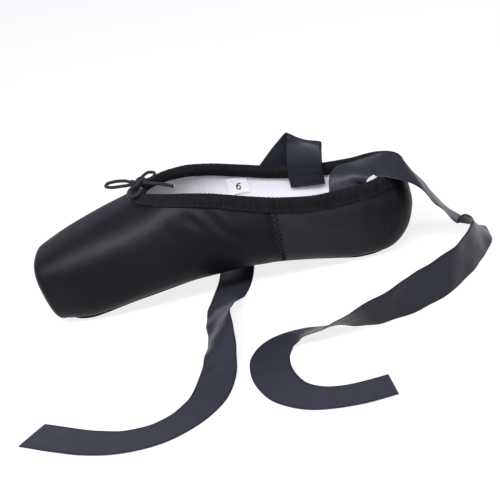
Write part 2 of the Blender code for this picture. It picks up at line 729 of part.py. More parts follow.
def side_path(distance, side, low_angle, high_stop):
    """Points down the side of the upper at one distance, from below the binding to near the sole."""
    size = {key: float(value) for key, value in section(distance).items()}
    y, z = corner(np.linspace(math.radians(70), 0, 200), size["half"], size["up"], size["full"])
    keep = z + size["belly"] < high_stop
    turn = np.linspace(0, low_angle, 60)[1:]
    low_y, low_z = corner(turn, size["half"] - size["flat"], size["down"], FLANK_FULL)
    y = np.concatenate((y[keep], size["flat"] + low_y))
    z = np.concatenate((z[keep], -low_z)) + size["belly"]
    length = np.concatenate(([0], np.cumsum(np.hypot(np.diff(y), np.diff(z)))))
    even = np.linspace(0, length[-1], BAND_STEPS)
    y = np.interp(even, length, y)
    z = np.interp(even, length, z)
    return np.column_stack((np.full(BAND_STEPS, to_x(distance)), side * y, z))


def band_on(name, lines, thickness, outward_sign=1.0):
    """Thin band over a grid of surface points: lines run along it, side by side."""
    grid = np.stack(lines)
    along = np.gradient(grid, axis=1)
    across = np.gradient(grid, axis=0)
    normal = np.cross(along, across)
    normal /= np.linalg.norm(normal, axis=2)[:, :, None]
    middle = np.array((grid[..., 0].mean(), 0.0, 0.030))
    facing = np.sign(np.sum(normal * (grid - middle), axis=2))[:, :, None]
    normal = normal * facing * outward_sign
    inner = grid + normal * FIT_GAP
    outer = grid + normal * (FIT_GAP + thickness)
    rings = []
    for k in range(grid.shape[1]):
        rings.append(np.vstack((inner[:, k], outer[::-1, k])))
    return loft(name, rings)


def make_side_seam(name, side):
    """Overlocked seam band between vamp and quarter."""
    lines = []
    for offset in (-0.5, 0.0, 0.5):
        distance = SIDE_SEAM_DISTANCE + offset * SEAM_WIDTH
        stop = float(rim_height(distance)) - BINDING_DEPTH - SEAM_TO_BINDING
        lines.append(side_path(distance, side, math.radians(62), stop))
    return finish(band_on(name, lines, SEAM_THICKNESS), (0.012, 0.012, 0.013), 0.7)


def make_label():
    """Small woven label inside the far wall."""
    lines = []
    for offset in (-0.5, 0.0, 0.5):
        here = LABEL_DISTANCE + offset * LABEL_WIDTH
        inset = float(wall(here))
        size = {key: float(value) for key, value in section(here, inset).items()}
        top = float(rim_height(here)) - BINDING_INNER_DEPTH - LABEL_TO_BINDING
        z = np.linspace(top, top - LABEL_HEIGHT, LABEL_ROWS)
        high = (z - size["belly"]) / size["up"]
        y = size["half"] * (1 - high ** size["full"]) ** (1 / size["full"])
        lines.append(np.column_stack((np.full(LABEL_ROWS, to_x(here)), y, z)))
    return finish(band_on("size_label", lines, LABEL_THICKNESS, -1.0), (0.8, 0.8, 0.8), 0.7)


def curve_through(points, count):
    """Evenly spaced points of a smooth curve through the rows of a route."""
    points = np.asarray(points, dtype=float)
    chord = np.sqrt(np.linalg.norm(np.diff(points[:, :3], axis=0), axis=1))
    knots = np.concatenate(([0], np.cumsum(chord)))
    slope = np.gradient(points, knots, axis=0, edge_order=1)
    fine = np.linspace(0, knots[-1], 40 * len(points))
    index = np.clip(np.searchsorted(knots, fine, side="right") - 1, 0, len(chord) - 1)
    step = chord[index][:, None]
    t = ((fine - knots[index]) / chord[index])[:, None]
    path = (
        points[index] * (2 * t**3 - 3 * t**2 + 1)
        + slope[index] * step * (t**3 - 2 * t**2 + t)
        + points[index + 1] * (3 * t**2 - 2 * t**3)
        + slope[index + 1] * step * (t**3 - t**2)
    )
    length = np.concatenate(([0], np.cumsum(np.linalg.norm(np.diff(path[:, :3], axis=0), axis=1))))
    even = np.linspace(0, length[-1], count)
    return np.column_stack([np.interp(even, length, path[:, axis]) for axis in range(path.shape[1])])


def make_ribbon(name, route):
    """Satin ribbon of constant width, laid along its route and never below the floor."""
    rows = curve_through(route, RIBBON_STEPS)
    values = dict(zip(RIBBON_COLUMNS, rows.T))
    middle = np.column_stack((values["x"], values["y"], values["z"]))
    across = np.column_stack((values["across_x"], values["across_y"], values["across_z"]))
    across /= np.linalg.norm(across, axis=1)[:, None]
    crown = values["crown"][:, None] / 2
    half = RIBBON_WIDTH / 2
    middle[:, 2] = np.maximum(middle[:, 2], np.abs(across[:, 2]) * half + RIBBON_THICKNESS)
    ahead = np.gradient(middle, axis=0)
    normal = np.cross(across, ahead)
    normal /= np.linalg.norm(normal, axis=1)[:, None]
    ridge = middle + normal * crown
    left = middle - across * half - normal * crown
    right = middle + across * half - normal * crown
    skin = normal * RIBBON_THICKNESS / 2
    lines = (left + skin, ridge + skin, right + skin, right - skin, ridge - skin, left - skin)
    rings = [np.array([line[k] for line in lines]) for k in range(RIBBON_STEPS)]
    return finish(loft(name, rings), (0.045, 0.047, 0.06), 0.35, smooth_angle=60)


def make_cord(name, route):
    """Length of drawstring along its route."""
    path = curve_through(route, CORD_STEPS)
    curve = bpy.data.curves.new(name, "CURVE")
    curve.dimensions = "3D"
    curve.bevel_depth = DRAWSTRING_DIAMETER / 2
    curve.bevel_resolution = 2
    curve.use_fill_caps = True
    spline = curve.splines.new("POLY")
    spline.points.add(CORD_STEPS - 1)
    spline.points.foreach_set("co", np.column_stack((path, np.ones(CORD_STEPS))).ravel())
    made = bpy.data.objects.new(name, curve)
    bpy.context.collection.objects.link(made)
    return finish(made, (0.02, 0.02, 0.022), 0.8)


def make_knot():
    """Knot of the drawstring, on the binding at the throat."""
    rings = []
    for turn in np.linspace(0, math.pi, 9)[1:-1]:
        around = np.linspace(0, 2 * math.pi, KNOT_STEPS + 1)[:-1]
        across = math.sin(turn)
        middle = np.full(KNOT_STEPS, -math.cos(turn))
        ball = np.column_stack((middle, np.cos(around) * across, np.sin(around) * across))
        rings.append(ball * np.array(KNOT_SIZE) / 2 + np.array(KNOT_PLACE))
    return finish(loft("bow_knot", rings), (0.02, 0.02, 0.022), 0.8)


def main():
    for old in list(bpy.data.objects):
        bpy.data.objects.remove(old, do_unlink=True)
    make_upper()
    make_outsole()
    make_insole()
    make_binding()
    make_side_seam("side_seam_near", -1)
    make_side_seam("side_seam_far", 1)
    make_label()
    make_ribbon("ribbon_near", RIBBON_NEAR_ROUTE)
    make_ribbon("ribbon_far", RIBBON_FAR_ROUTE)
    make_knot()
    for name, route in BOW_ROUTES.items():
        make_cord(name, route)


main()
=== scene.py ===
"""Pointe shoe: finishes, cloth, stitching, ribbons and light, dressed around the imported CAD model.

Every surface is laid on the same last as the CAD model. Toe towards -X, heel towards +X, +Z up,
floor at z = 0, near side of the photograph towards -Y. Lengths are in metres.
"""

import logging
import math
from dataclasses import dataclass
from enum import Enum

import bpy
import numpy as np
from mathutils import Matrix, Vector


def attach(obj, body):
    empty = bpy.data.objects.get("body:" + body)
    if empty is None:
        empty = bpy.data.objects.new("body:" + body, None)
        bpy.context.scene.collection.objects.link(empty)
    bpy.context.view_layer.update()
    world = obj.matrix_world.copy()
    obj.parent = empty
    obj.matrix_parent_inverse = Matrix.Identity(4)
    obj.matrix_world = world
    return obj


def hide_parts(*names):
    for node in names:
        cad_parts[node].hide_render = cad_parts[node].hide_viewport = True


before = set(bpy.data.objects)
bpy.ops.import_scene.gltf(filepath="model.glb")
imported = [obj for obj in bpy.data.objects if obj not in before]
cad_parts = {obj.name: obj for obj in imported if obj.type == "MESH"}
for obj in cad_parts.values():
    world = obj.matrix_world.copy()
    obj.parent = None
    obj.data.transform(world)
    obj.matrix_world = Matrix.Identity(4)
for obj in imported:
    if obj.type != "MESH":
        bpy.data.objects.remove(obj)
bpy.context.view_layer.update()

LOG = logging.getLogger("pointe_shoe")
BODY = "root"
TURN = 2 * math.pi
QUARTER = math.pi / 2
NEAR = -1
FAR = 1
SIDE_SEAM = 0.1505  # distance of the side seams from the toe
LINING_SEAM = 0.108  # distance of the lining's cross seams from the toe
TINY = 1e-5
END_SHARE = 0.02  # how small the last ring of a tube, a slab or the platform is drawn in


# Tables and curves


def cubic(
    t: np.ndarray, step: np.ndarray, values: np.ndarray, slopes: np.ndarray, index: np.ndarray
) -> np.ndarray:
    """Cubic between neighbouring rows that meets their values and slopes.

    Args:
        t: Share of the way from one row to the next.
        step: Width between the rows.
        values: Values of all the rows.
        slopes: Slopes of all the rows.
        index: The row before each place.

    Returns:
        The value at each place.
    """
    return (
        values[index] * (2 * t**3 - 3 * t**2 + 1)
        + slopes[index] * step * (t**3 - 2 * t**2 + t)
        + values[index + 1] * (3 * t**2 - 2 * t**3)
        + slopes[index + 1] * step * (t**3 - t**2)
    )


def smooth(at: np.ndarray, knots: np.ndarray, values: np.ndarray) -> np.ndarray:
    """Cubic through the rows of a table, with slopes limited so that it does not swing past them.

    Args:
        at: Places to read.
        knots: Places of the rows, rising.
        values: Values of the rows.

    Returns:
        The value at each place.
    """
    at = np.clip(np.asarray(at, dtype=float), knots[0], knots[-1])
    step = np.diff(knots)
    slope = np.diff(values) / step
    product = slope[:-1] * slope[1:]
    inner = np.where(product > 0, 2 * product / (slope[:-1] + slope[1:] + 1e-12), 0)
    tangent = np.concatenate(([slope[0]], inner, [slope[-1]]))
    index = np.clip(np.searchsorted(knots, at, side="right") - 1, 0, len(step) - 1)
    return cubic((at - knots[index]) / step[index], step[index], values, tangent, index)


@dataclass(frozen=True)
class Table:
    """Rows of numbers under named columns; the first column is the place along."""

    columns: tuple[str, ...]
    rows: tuple[tuple[float, ...], ...]

    def column(self, name: str) -> np.ndarray:
        """One named column."""
        return np.array([row[self.columns.index(name)] for row in self.rows], dtype=float)

    def read(self, name: str, at: np.ndarray) -> np.ndarray:
        """A named column read at any place along."""
        return smooth(at, self.column(self.columns[0]), self.column(name))


def resample(path: np.ndarray, count: int, closed: bool = False) -> np.ndarray:
    """Rows of a path at even steps of its length.

    Args:
        path: Rows whose first three columns are a place.
        count: How many rows to return.
        closed: True if the path returns to its first row, which is then not repeated.

    Returns:
        The even rows.
    """
    if closed:
        path = np.vstack((path, path[:1]))
    steps = np.linalg.norm(np.diff(path[:, :3], axis=0), axis=1)
    length = np.concatenate(([0], np.cumsum(steps)))
    even = np.linspace(0, length[-1], count + 1 if closed else count)[:count]
    return np.column_stack([np.interp(even, length, path[:, k]) for k in range(path.shape[1])])


def curve_through(points: np.ndarray, count: int) -> np.ndarray:
    """Evenly spaced rows of a smooth curve through the rows of a route.

    Args:
        points: Rows of the route, place first.
        count: How many rows to return.

    Returns:
        The rows of the curve.
    """
    points = np.asarray(points, dtype=float)
    chord = np.sqrt(np.linalg.norm(np.diff(points[:, :3], axis=0), axis=1))
    knots = np.concatenate(([0], np.cumsum(chord)))
    slope = np.gradient(points, knots, axis=0, edge_order=1)
    fine = np.linspace(0, knots[-1], 60 * len(points))
    index = np.clip(np.searchsorted(knots, fine, side="right") - 1, 0, len(chord) - 1)
    step = chord[index][:, None]
    share = ((fine - knots[index]) / chord[index])[:, None]
    return resample(cubic(share, step, points, slope, index), count)


def unit(vectors: np.ndarray) -> np.ndarray:
    """Vectors brought to length one."""
    return vectors / np.maximum(np.linalg.norm(vectors, axis=-1, keepdims=True), 1e-12)


def path_length(path: np.ndarray) -> float:
    """Length of a path of points."""
    return float(np.linalg.norm(np.diff(path[:, :3], axis=0), axis=1).sum())


def stroke_distance(points: np.ndarray, stroke: np.ndarray) -> tuple[np.ndarray, np.ndarray]:
    """Distance from each point to a line of straight pieces.

    Args:
        points: Any array of points.
        stroke: Rows of points along the line.

    Returns:
        The distance, and the share of the line's length at the nearest place.
    """
    best = np.full(points.shape[:-1], np.inf)
    share = np.zeros(points.shape[:-1])
    steps = np.linalg.norm(np.diff(stroke, axis=0), axis=1)
    before = np.concatenate(([0], np.cumsum(steps)))
    for k, size in enumerate(steps):
        ahead = (stroke[k + 1] - stroke[k]) / size
        along = np.clip((points - stroke[k]) @ ahead, 0, size)
        gap = np.linalg.norm(points - stroke[k] - along[..., None] * ahead, axis=-1)
        nearer = gap < best
        best = np.where(nearer, gap, best)
        share = np.where(nearer, (before[k] + along) / before[-1], share)
    return best, share


# Meshes


def grid_faces(rows: int, columns: int, wrap_rows: bool, wrap_columns: bool) -> np.ndarray:
    """Four corners of every cell of a grid of points, numbered row by row."""
    r = np.arange(rows if wrap_rows else rows - 1)
    c = np.arange(columns if wrap_columns else columns - 1)
    r, c = np.meshgrid(r, c, indexing="ij")
    r_next = (r + 1) % rows
    c_next = (c + 1) % columns
    corners = (r * columns + c, r * columns + c_next, r_next * columns + c_next, r_next * columns + c)
    return np.stack(corners, axis=-1).reshape(-1, 4)


def make_object(
    name: str, points: np.ndarray, faces: np.ndarray, uv: np.ndarray | None = None
) -> bpy.types.Object:
    """Smooth-shaded object of four-cornered faces.

    Args:
        name: Name of the object.
        points: Rows of places.
        faces: Rows of four point numbers.
        uv: Rows of two values, one for each point, kept in a UV map named Cloth.

    Returns:
        The object, at the origin.
    """
    mesh = bpy.data.meshes.new(name)
    mesh.vertices.add(len(points))
    mesh.vertices.foreach_set("co", np.ascontiguousarray(points, dtype=np.float32).ravel())
    mesh.loops.add(faces.size)
    mesh.loops.foreach_set("vertex_index", faces.astype(np.int32).ravel())
    mesh.polygons.add(len(faces))
    mesh.polygons.foreach_set("loop_start", np.arange(0, faces.size, 4, dtype=np.int32))
    mesh.polygons.foreach_set("use_smooth", np.ones(len(faces), dtype=bool))
    if uv is not None:
        layer = mesh.uv_layers.new(name="Cloth")
        layer.data.foreach_set("uv", uv[faces.ravel()].astype(np.float32).ravel())
    mesh.update(calc_edges=True)
    mesh.validate()
    made = bpy.data.objects.new(name, mesh)
    bpy.context.collection.objects.link(made)
    return made


def grid_object(
    name: str,
    grid: np.ndarray,
    wrap_rows: bool = False,
    wrap_columns: bool = False,
    flip: bool = False,
    uv: np.ndarray | None = None,
) -> bpy.types.Object:
    """Object from a grid of points.

    Args:
        name: Name of the object.
        grid: Points as rows, columns and three coordinates.
        wrap_rows: Join the last row to the first.
        wrap_columns: Join the last column to the first.
        flip: Turn the faces to the other side.
        uv: Two values for each point of the grid.

    Returns:
        The object.
    """
    rows, columns = grid.shape[:2]
    faces = grid_faces(rows, columns, wrap_rows, wrap_columns)
    if flip:
        faces = faces[:, ::-1]
    flat_uv = None if uv is None else uv.reshape(-1, 2)
    return make_object(name, grid.reshape(-1, 3), faces, flat_uv)


def grid_normals(grid: np.ndarray) -> np.ndarray:
    """Direction square to a grid of points at each of them: row direction crossed with column direction."""
    return unit(np.cross(np.gradient(grid, axis=0), np.gradient(grid, axis=1)))


def tube_grid(path: np.ndarray, radius: np.ndarray | float, sides: int) -> np.ndarray:
    """Rings round a path: each ring lies square to it, turned as little as possible from the ring before.

    Args:
        path: Rows of points.
        radius: One radius, or one for each row.
        sides: Points in a ring.

    Returns:
        Grid of rings, each end drawn in almost to a point.
    """
    ahead = unit(np.gradient(path, axis=0))
    side = np.zeros_like(path)
    start = np.cross(ahead[0], (0.13, 0.21, 0.97))
    for k, direction in enumerate(ahead):
        start = start - direction * (start @ direction)
        start = start / np.linalg.norm(start)
        side[k] = start
    other = np.cross(ahead, side)
    angle = np.linspace(0, TURN, sides + 1)[:-1]
    radius = np.broadcast_to(np.asarray(radius, dtype=float), (len(path),))
    ring = np.cos(angle)[None, :, None] * side[:, None] + np.sin(angle)[None, :, None] * other[:, None]
    grid = path[:, None] + ring * radius[:, None, None]
    first = path[0] + (grid[0] - path[0]) * END_SHARE
    last = path[-1] + (grid[-1] - path[-1]) * END_SHARE
    return np.concatenate((first[None], grid, last[None]))


def stitches(
    name: str,
    path: np.ndarray,
    up: np.ndarray,
    pitch: float,
    share: float,
    radius: float,
    closed: bool = False,
) -> bpy.types.Object:
    """Row of thread stitches: each is a small bead, long along the path and flattened on the cloth.

    Args:
        name: Name of the object.
        path: Points along the seam.
        up: Direction away from the cloth at each point.
        pitch: From the start of a stitch to the start of the next.
        share: Share of the pitch that the thread covers.
        radius: Radius of the thread.
        closed: True if the seam returns to its start.

    Returns:
        One object with all the stitches.
    """
    count = max(2, int(path_length(path) / pitch))
    rows = resample(np.column_stack((path, up)), count, closed)
    middle = rows[:, :3]
    lift = unit(rows[:, 3:6])
    if closed:
        ahead = unit(np.roll(middle, -1, axis=0) - np.roll(middle, 1, axis=0))
    else:
        ahead = unit(np.gradient(middle, axis=0))
    side = unit(np.cross(ahead, lift))
    level = np.linspace(-1, 1, 5)
    around = np.linspace(0, TURN, 7)[:-1]
    swell = np.sqrt(np.maximum(1 - level**2, 0.0009))[:, None]
    along = level * pitch * share / 2
    out_to_side = (swell * np.cos(around))[None, :, :, None] * radius
    out_of_cloth = (swell * np.sin(around))[None, :, :, None] * radius
    points = (
        middle[:, None, None]
        + ahead[:, None, None] * along[None, :, None, None]
        + side[:, None, None] * out_to_side
        + lift[:, None, None] * out_of_cloth
    )
    faces = grid_faces(len(level), len(around), False, True)
    block = len(level) * len(around)
    faces = (faces[None] + (np.arange(count) * block)[:, None, None]).reshape(-1, 4)
    return make_object(name, points.reshape(-1, 3), faces)


# Shaders


class Wire:
    """Output socket of a shader tree, with arithmetic that adds the maths nodes."""

    def __init__(self, shader: "Shader", socket: bpy.types.NodeSocket) -> None:
        """Hold a socket of a shader."""
        self.shader = shader
        self.socket = socket

    def maths(self, operation: str, *others: "Wire | float", swap: bool = False) -> "Wire":
        """Math node of one operation.

        Args:
            operation: Name of the operation.
            others: Second and third input.
            swap: Exchange the first two inputs.

        Returns:
            Its output.
        """
        inputs = [self, *others]
        if swap:
            inputs[0], inputs[1] = inputs[1], inputs[0]
        sockets = dict(enumerate(inputs))
        return self.shader.node("ShaderNodeMath", {"operation": operation}, sockets)

    def __add__(self, other: "Wire | float") -> "Wire":
        """Sum."""
        return self.maths("ADD", other)

    def __sub__(self, other: "Wire | float") -> "Wire":
        """Difference."""
        return self.maths("SUBTRACT", other)

    def __mul__(self, other: "Wire | float") -> "Wire":
        """Product."""
        return self.maths("MULTIPLY", other)

    def __radd__(self, other: float) -> "Wire":
        """Sum, number first."""
        return self.maths("ADD", other)

    def __rsub__(self, other: float) -> "Wire":
        """Difference, number first."""
        return self.maths("SUBTRACT", other, swap=True)

    def __rmul__(self, other: float) -> "Wire":
        """Product, number first."""
        return self.maths("MULTIPLY", other)

    def sine(self) -> "Wire":
        """Sine."""
        return self.maths("SINE")

    def size(self) -> "Wire":
        """Value without its sign."""
        return self.maths("ABSOLUTE")

    def step(self, low: float, high: float) -> "Wire":
        """Smooth step from 0 below low to 1 above high."""
        return self.shader.node(
            "ShaderNodeMapRange",
            {"interpolation_type": "SMOOTHSTEP"},
            {"Value": self, "From Min": low, "From Max": high},
            "Result",
        )


class Shader:
    """Material with one principled surface, and the nodes that feed it."""

    def __init__(self, name: str, **constants: float | tuple[float, ...]) -> None:
        """Make the material.

        Args:
            name: Name of the material.
            constants: Values of the principled surface, by socket name with _ for a space.
        """
        self.material = bpy.data.materials.new(name)
        self.material.use_nodes = True
        self.tree = self.material.node_tree
        self.surface = self.tree.nodes["Principled BSDF"]
        for key, value in constants.items():
            self.surface.inputs[key.replace("_", " ")].default_value = value

    def node(self, kind: str, settings: dict, sockets: dict, output: int | str = 0) -> Wire:
        """Any node.

        Args:
            kind: Type of the node.
            settings: Its properties by name.
            sockets: Its inputs by name or number, each a wire or a value.
            output: Which output to return.

        Returns:
            The output.
        """
        made = self.tree.nodes.new(kind)
        for key, value in settings.items():
            setattr(made, key, value)
        for key, value in sockets.items():
            if isinstance(value, Wire):
                self.tree.links.new(value.socket, made.inputs[key])
            else:
                made.inputs[key].default_value = value
        return Wire(self, made.outputs[output])

    def place(self) -> Wire:
        """Object coordinates, in metres."""
        return self.node("ShaderNodeTexCoord", {}, {}, "Object")

    def cloth(self) -> Wire:
        """The piece's own UV map, in metres along and across."""
        return self.node("ShaderNodeUVMap", {"uv_map": "Cloth"}, {})

    def split(self, vector: Wire) -> tuple[Wire, Wire, Wire]:
        """The three parts of a vector."""
        first = self.node("ShaderNodeSeparateXYZ", {}, {0: vector})
        outputs = first.socket.node.outputs
        return first, Wire(self, outputs[1]), Wire(self, outputs[2])

    def scaled(self, vector: Wire, scale: tuple[float, float, float]) -> Wire:
        """Vector stretched along each axis."""
        return self.node("ShaderNodeVectorMath", {"operation": "MULTIPLY"}, {0: vector, 1: scale})

    def noise(self, vector: Wire, scale: float, detail: float = 2.0, roughness: float = 0.5) -> Wire:
        """Soft random value about 0.5."""
        sockets = {"Vector": vector, "Scale": scale, "Detail": detail, "Roughness": roughness}
        return self.node("ShaderNodeTexNoise", {}, sockets, "Fac")

    def colours(self, share: Wire, low: tuple[float, ...], high: tuple[float, ...]) -> Wire:
        """Colour between two colours."""
        sockets = {"Factor": share, 6: (*low, 1.0), 7: (*high, 1.0)}
        return self.node("ShaderNodeMix", {"data_type": "RGBA"}, sockets, 2)

    def between(self, share: Wire, low: Wire, high: Wire) -> Wire:
        """Colour between two wires of colour."""
        return self.node("ShaderNodeMix", {"data_type": "RGBA"}, {"Factor": share, 6: low, 7: high}, 2)

    def feed(self, name: str, wire: Wire) -> None:
        """Connect a wire to an input of the surface."""
        self.tree.links.new(wire.socket, self.surface.inputs[name])

    def relief(self, height: Wire, distance: float) -> None:
        """Bump the surface by a height whose unit is distance."""
        sockets = {"Height": height, "Distance": distance, "Strength": 1.0}
        self.feed("Normal", self.node("ShaderNodeBump", {}, sockets))


Colour = tuple[float, float, float]


@dataclass(frozen=True)
class Satin:
    """Satin weave: dark body with a soft band of light that follows the form.

    The quarters are painted paler behind the side seams, a painted sheen that is strongest just behind the
    seams and fades towards the heel.
    """

    name: str = "satin_black"
    dark: Colour = (0.0022, 0.0022, 0.0034)
    light: Colour = (0.0050, 0.0050, 0.0070)
    # painted sheen: paler, more purple colours for the quarters behind the side seams
    quarter_painted_sheen_dark: Colour = (0.0095, 0.0084, 0.0108)
    quarter_painted_sheen_light: Colour = (0.0142, 0.0130, 0.0158)
    seam_x: float = 0.0324
    seam_blur: float = 0.0005
    painted_sheen_fade_x: tuple[float, float] = (0.055, 0.100)
    fade: float = 0.8
    gloss: float = 0.42
    gloss_spread: float = 0.10
    shine: float = 0.104
    slub: float = 0.00005

    def material(self) -> bpy.types.Material:
        """Colour and gloss vary with soft blotches; fine slubs run along the shoe."""
        shader = Shader(self.name, Specular_IOR_Level=self.shine)
        place = shader.place()
        blotch = shader.noise(place, 38, 3)
        threads = shader.noise(shader.scaled(place, (240, 1500, 1500)), 1.0, 2)
        along, _, _ = shader.split(place)
        # painted sheen: behind the side seams the colour turns paler, most of all near the seams, fading
        # towards the heel
        behind_seam_painted_sheen = along.step(self.seam_x - self.seam_blur, self.seam_x + self.seam_blur)
        quarter = behind_seam_painted_sheen * (1 - along.step(*self.painted_sheen_fade_x) * self.fade)
        dark = shader.colours(quarter, self.dark, self.quarter_painted_sheen_dark)
        light = shader.colours(quarter, self.light, self.quarter_painted_sheen_light)
        shader.feed("Base Color", shader.between(blotch, dark, light))
        least = self.gloss - self.gloss_spread / 2
        shader.feed("Roughness", blotch * self.gloss_spread + least + threads * 0.04)
        puckers = shader.noise(shader.scaled(place, (70, 90, 130)), 1.0, 3, 0.55)
        shader.relief(threads * 0.35 + puckers * 6.0, self.slub)
        return shader.material


@dataclass(frozen=True)
class RibbonSatin:
    """Polyester satin ribbon: threads run along it and a firmer selvedge runs down each edge."""

    name: str = "satin_ribbon"
    dark: Colour = (0.0092, 0.0098, 0.0135)
    light: Colour = (0.0178, 0.0186, 0.0252)
    gloss: float = 0.34
    gloss_spread: float = 0.10
    shine: float = 0.115
    width: float = 0.022
    selvedge: float = 0.0009
    thread: float = 0.00003

    def material(self) -> bpy.types.Material:
        """Fine lengthwise threads, soft cross ripples and duller selvedges, from the ribbon's own map."""
        shader = Shader(
            self.name,
            Sheen_Weight=0.02,
            Sheen_Roughness=0.3,
            Sheen_Tint=(0.7, 0.75, 0.95, 1.0),
            Specular_IOR_Level=self.shine,
        )
        across, _, _ = shader.split(shader.cloth())
        edge = across.size().step(self.width / 2 - 2 * self.selvedge, self.width / 2 - self.selvedge)
        threads = shader.noise(shader.scaled(shader.cloth(), (4200, 90, 1)), 1.0, 2)
        ripple = shader.noise(shader.scaled(shader.cloth(), (45, 130, 1)), 1.0, 2)
        tone = threads * 0.45 + ripple * 0.55
        shader.feed("Base Color", shader.colours(tone * (1 - edge * 0.6), self.dark, self.light))
        least = self.gloss - self.gloss_spread / 2
        shader.feed("Roughness", threads * self.gloss_spread + edge * 0.15 + least)
        shader.relief(threads + ripple * 7.0 + edge * 2.0, self.thread)
        return shader.material


@dataclass(frozen=True)
class Weave:
    """Plain cotton or woven cloth: crossing threads, soft blotches and no gloss."""

    name: str
    dark: Colour
    light: Colour
    roughness: float = 0.85
    pitch: float = 0.0005
    depth: float = 0.00008
    sheen: float = 0.04
    streak: float = 0.0
    shine: float = 0.08

    def material(self) -> bpy.types.Material:
        """Two sets of ribs that cross in object space, broken by noise and by upright streaks."""
        shader = Shader(
            self.name, Roughness=self.roughness, Sheen_Weight=self.sheen, Specular_IOR_Level=self.shine
        )
        place = shader.place()
        x, y, z = shader.split(place)
        rate = TURN / self.pitch
        weave = (x * rate).sine() * ((y + z) * rate).sine()
        blotch = shader.noise(place, 90, 3)
        fuzz = shader.noise(place, 1400, 2)
        upright = shader.noise(shader.scaled(place, (760, 760, 90)), 1.0, 2).step(0.35, 0.68)
        tone = (blotch * 0.6 + fuzz * 0.4) * (1 - self.streak) + upright * self.streak
        shader.feed("Base Color", shader.colours(tone, self.dark, self.light))
        shader.relief(weave * 0.5 + fuzz + blotch * 2.0 + upright * (4 * self.streak), self.depth)
        return shader.material


@dataclass(frozen=True)
class Suede:
    """Rough-side leather of the outsole: short nap with lighter scuffs."""

    name: str = "suede_sole"
    dark: Colour = (0.008, 0.0075, 0.0075)
    light: Colour = (0.026, 0.024, 0.0235)
    nap: float = 0.0002

    def material(self) -> bpy.types.Material:
        """Nap from fine noise; scuffs from coarse noise."""
        shader = Shader(self.name, Sheen_Weight=0.04, Specular_IOR_Level=0.1)
        place = shader.place()
        scuff = shader.noise(place, 55, 4, 0.6)
        nap = shader.noise(place, 1800, 2)
        shader.feed("Base Color", shader.colours(scuff.step(0.35, 0.75), self.dark, self.light))
        shader.feed("Roughness", 0.95 - scuff * 0.2)
        shader.relief(nap + scuff, self.nap)
        return shader.material


@dataclass(frozen=True)
class Plain:
    """One even colour, with light of its own where it is given."""

    name: str
    colour: Colour
    roughness: float = 0.8
    glow: float = 0.0

    def material(self) -> bpy.types.Material:
        """Constant colour, roughness and light."""
        shader = Shader(
            self.name,
            Base_Color=(*self.colour, 1.0),
            Roughness=self.roughness,
            Specular_IOR_Level=0.1,
            Emission_Color=(1.0, 1.0, 1.0, 1.0),
            Emission_Strength=self.glow,
        )
        return shader.material


class Cloth(Enum):
    """The finishes that several pieces share."""

    SATIN = Satin()
    RIBBON = RibbonSatin()
    BINDING = Weave(
        "cotton_binding",
        dark=(0.0016, 0.0016, 0.0021),
        light=(0.0086, 0.0086, 0.0102),
        roughness=0.9,
        pitch=0.0007,
        depth=0.0001,
        sheen=0.01,
        streak=0.4,
    )
    LINING = Weave(
        "cotton_lining",
        dark=(0.53, 0.525, 0.55),
        light=(0.60, 0.595, 0.615),
        roughness=0.9,
        pitch=0.0006,
        depth=0.00006,
    )
    SOCK = Weave(
        "sock_cloth",
        dark=(0.60, 0.61, 0.57),
        light=(0.70, 0.71, 0.68),
        roughness=0.75,
        pitch=0.0009,
        depth=0.00005,
    )
    LABEL = Weave(
        "woven_label",
        dark=(0.61, 0.61, 0.62),
        light=(0.67, 0.67, 0.675),
        roughness=0.7,
        pitch=0.0004,
        depth=0.00004,
    )
    SOLE = Suede()
    BLACK_THREAD = Plain("thread_black", (0.0025, 0.0025, 0.0030), 0.9)
    PALE_THREAD = Plain("thread_pale", (0.40, 0.39, 0.45), 0.8)
    INK = Plain("label_ink", (0.02, 0.02, 0.025), 0.7)
    CORD = Weave(
        "braided_cord",
        dark=(0.010, 0.010, 0.011),
        light=(0.022, 0.022, 0.024),
        roughness=0.75,
        pitch=0.0008,
        depth=0.0002,
    )
    CUT_END = Plain("cord_cut_end", (0.35, 0.34, 0.33), 0.9)


MADE: dict[str, bpy.types.Material] = {}


def dress(obj: bpy.types.Object, cloth: Cloth) -> None:
    """Give a piece its finish and slot, and let it ride on the shoe.

    Args:
        obj: The piece.
        cloth: Its finish. Its material is made for the first piece that has it.
    """
    if cloth.name not in MADE:
        MADE[cloth.name] = cloth.value.material()
    obj.data.materials.clear()
    obj.data.materials.append(MADE[cloth.name])
    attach(obj, BODY)
    LOG.info("%s: %s, %d faces", obj.name, cloth.name.lower(), len(obj.data.polygons))


# The last


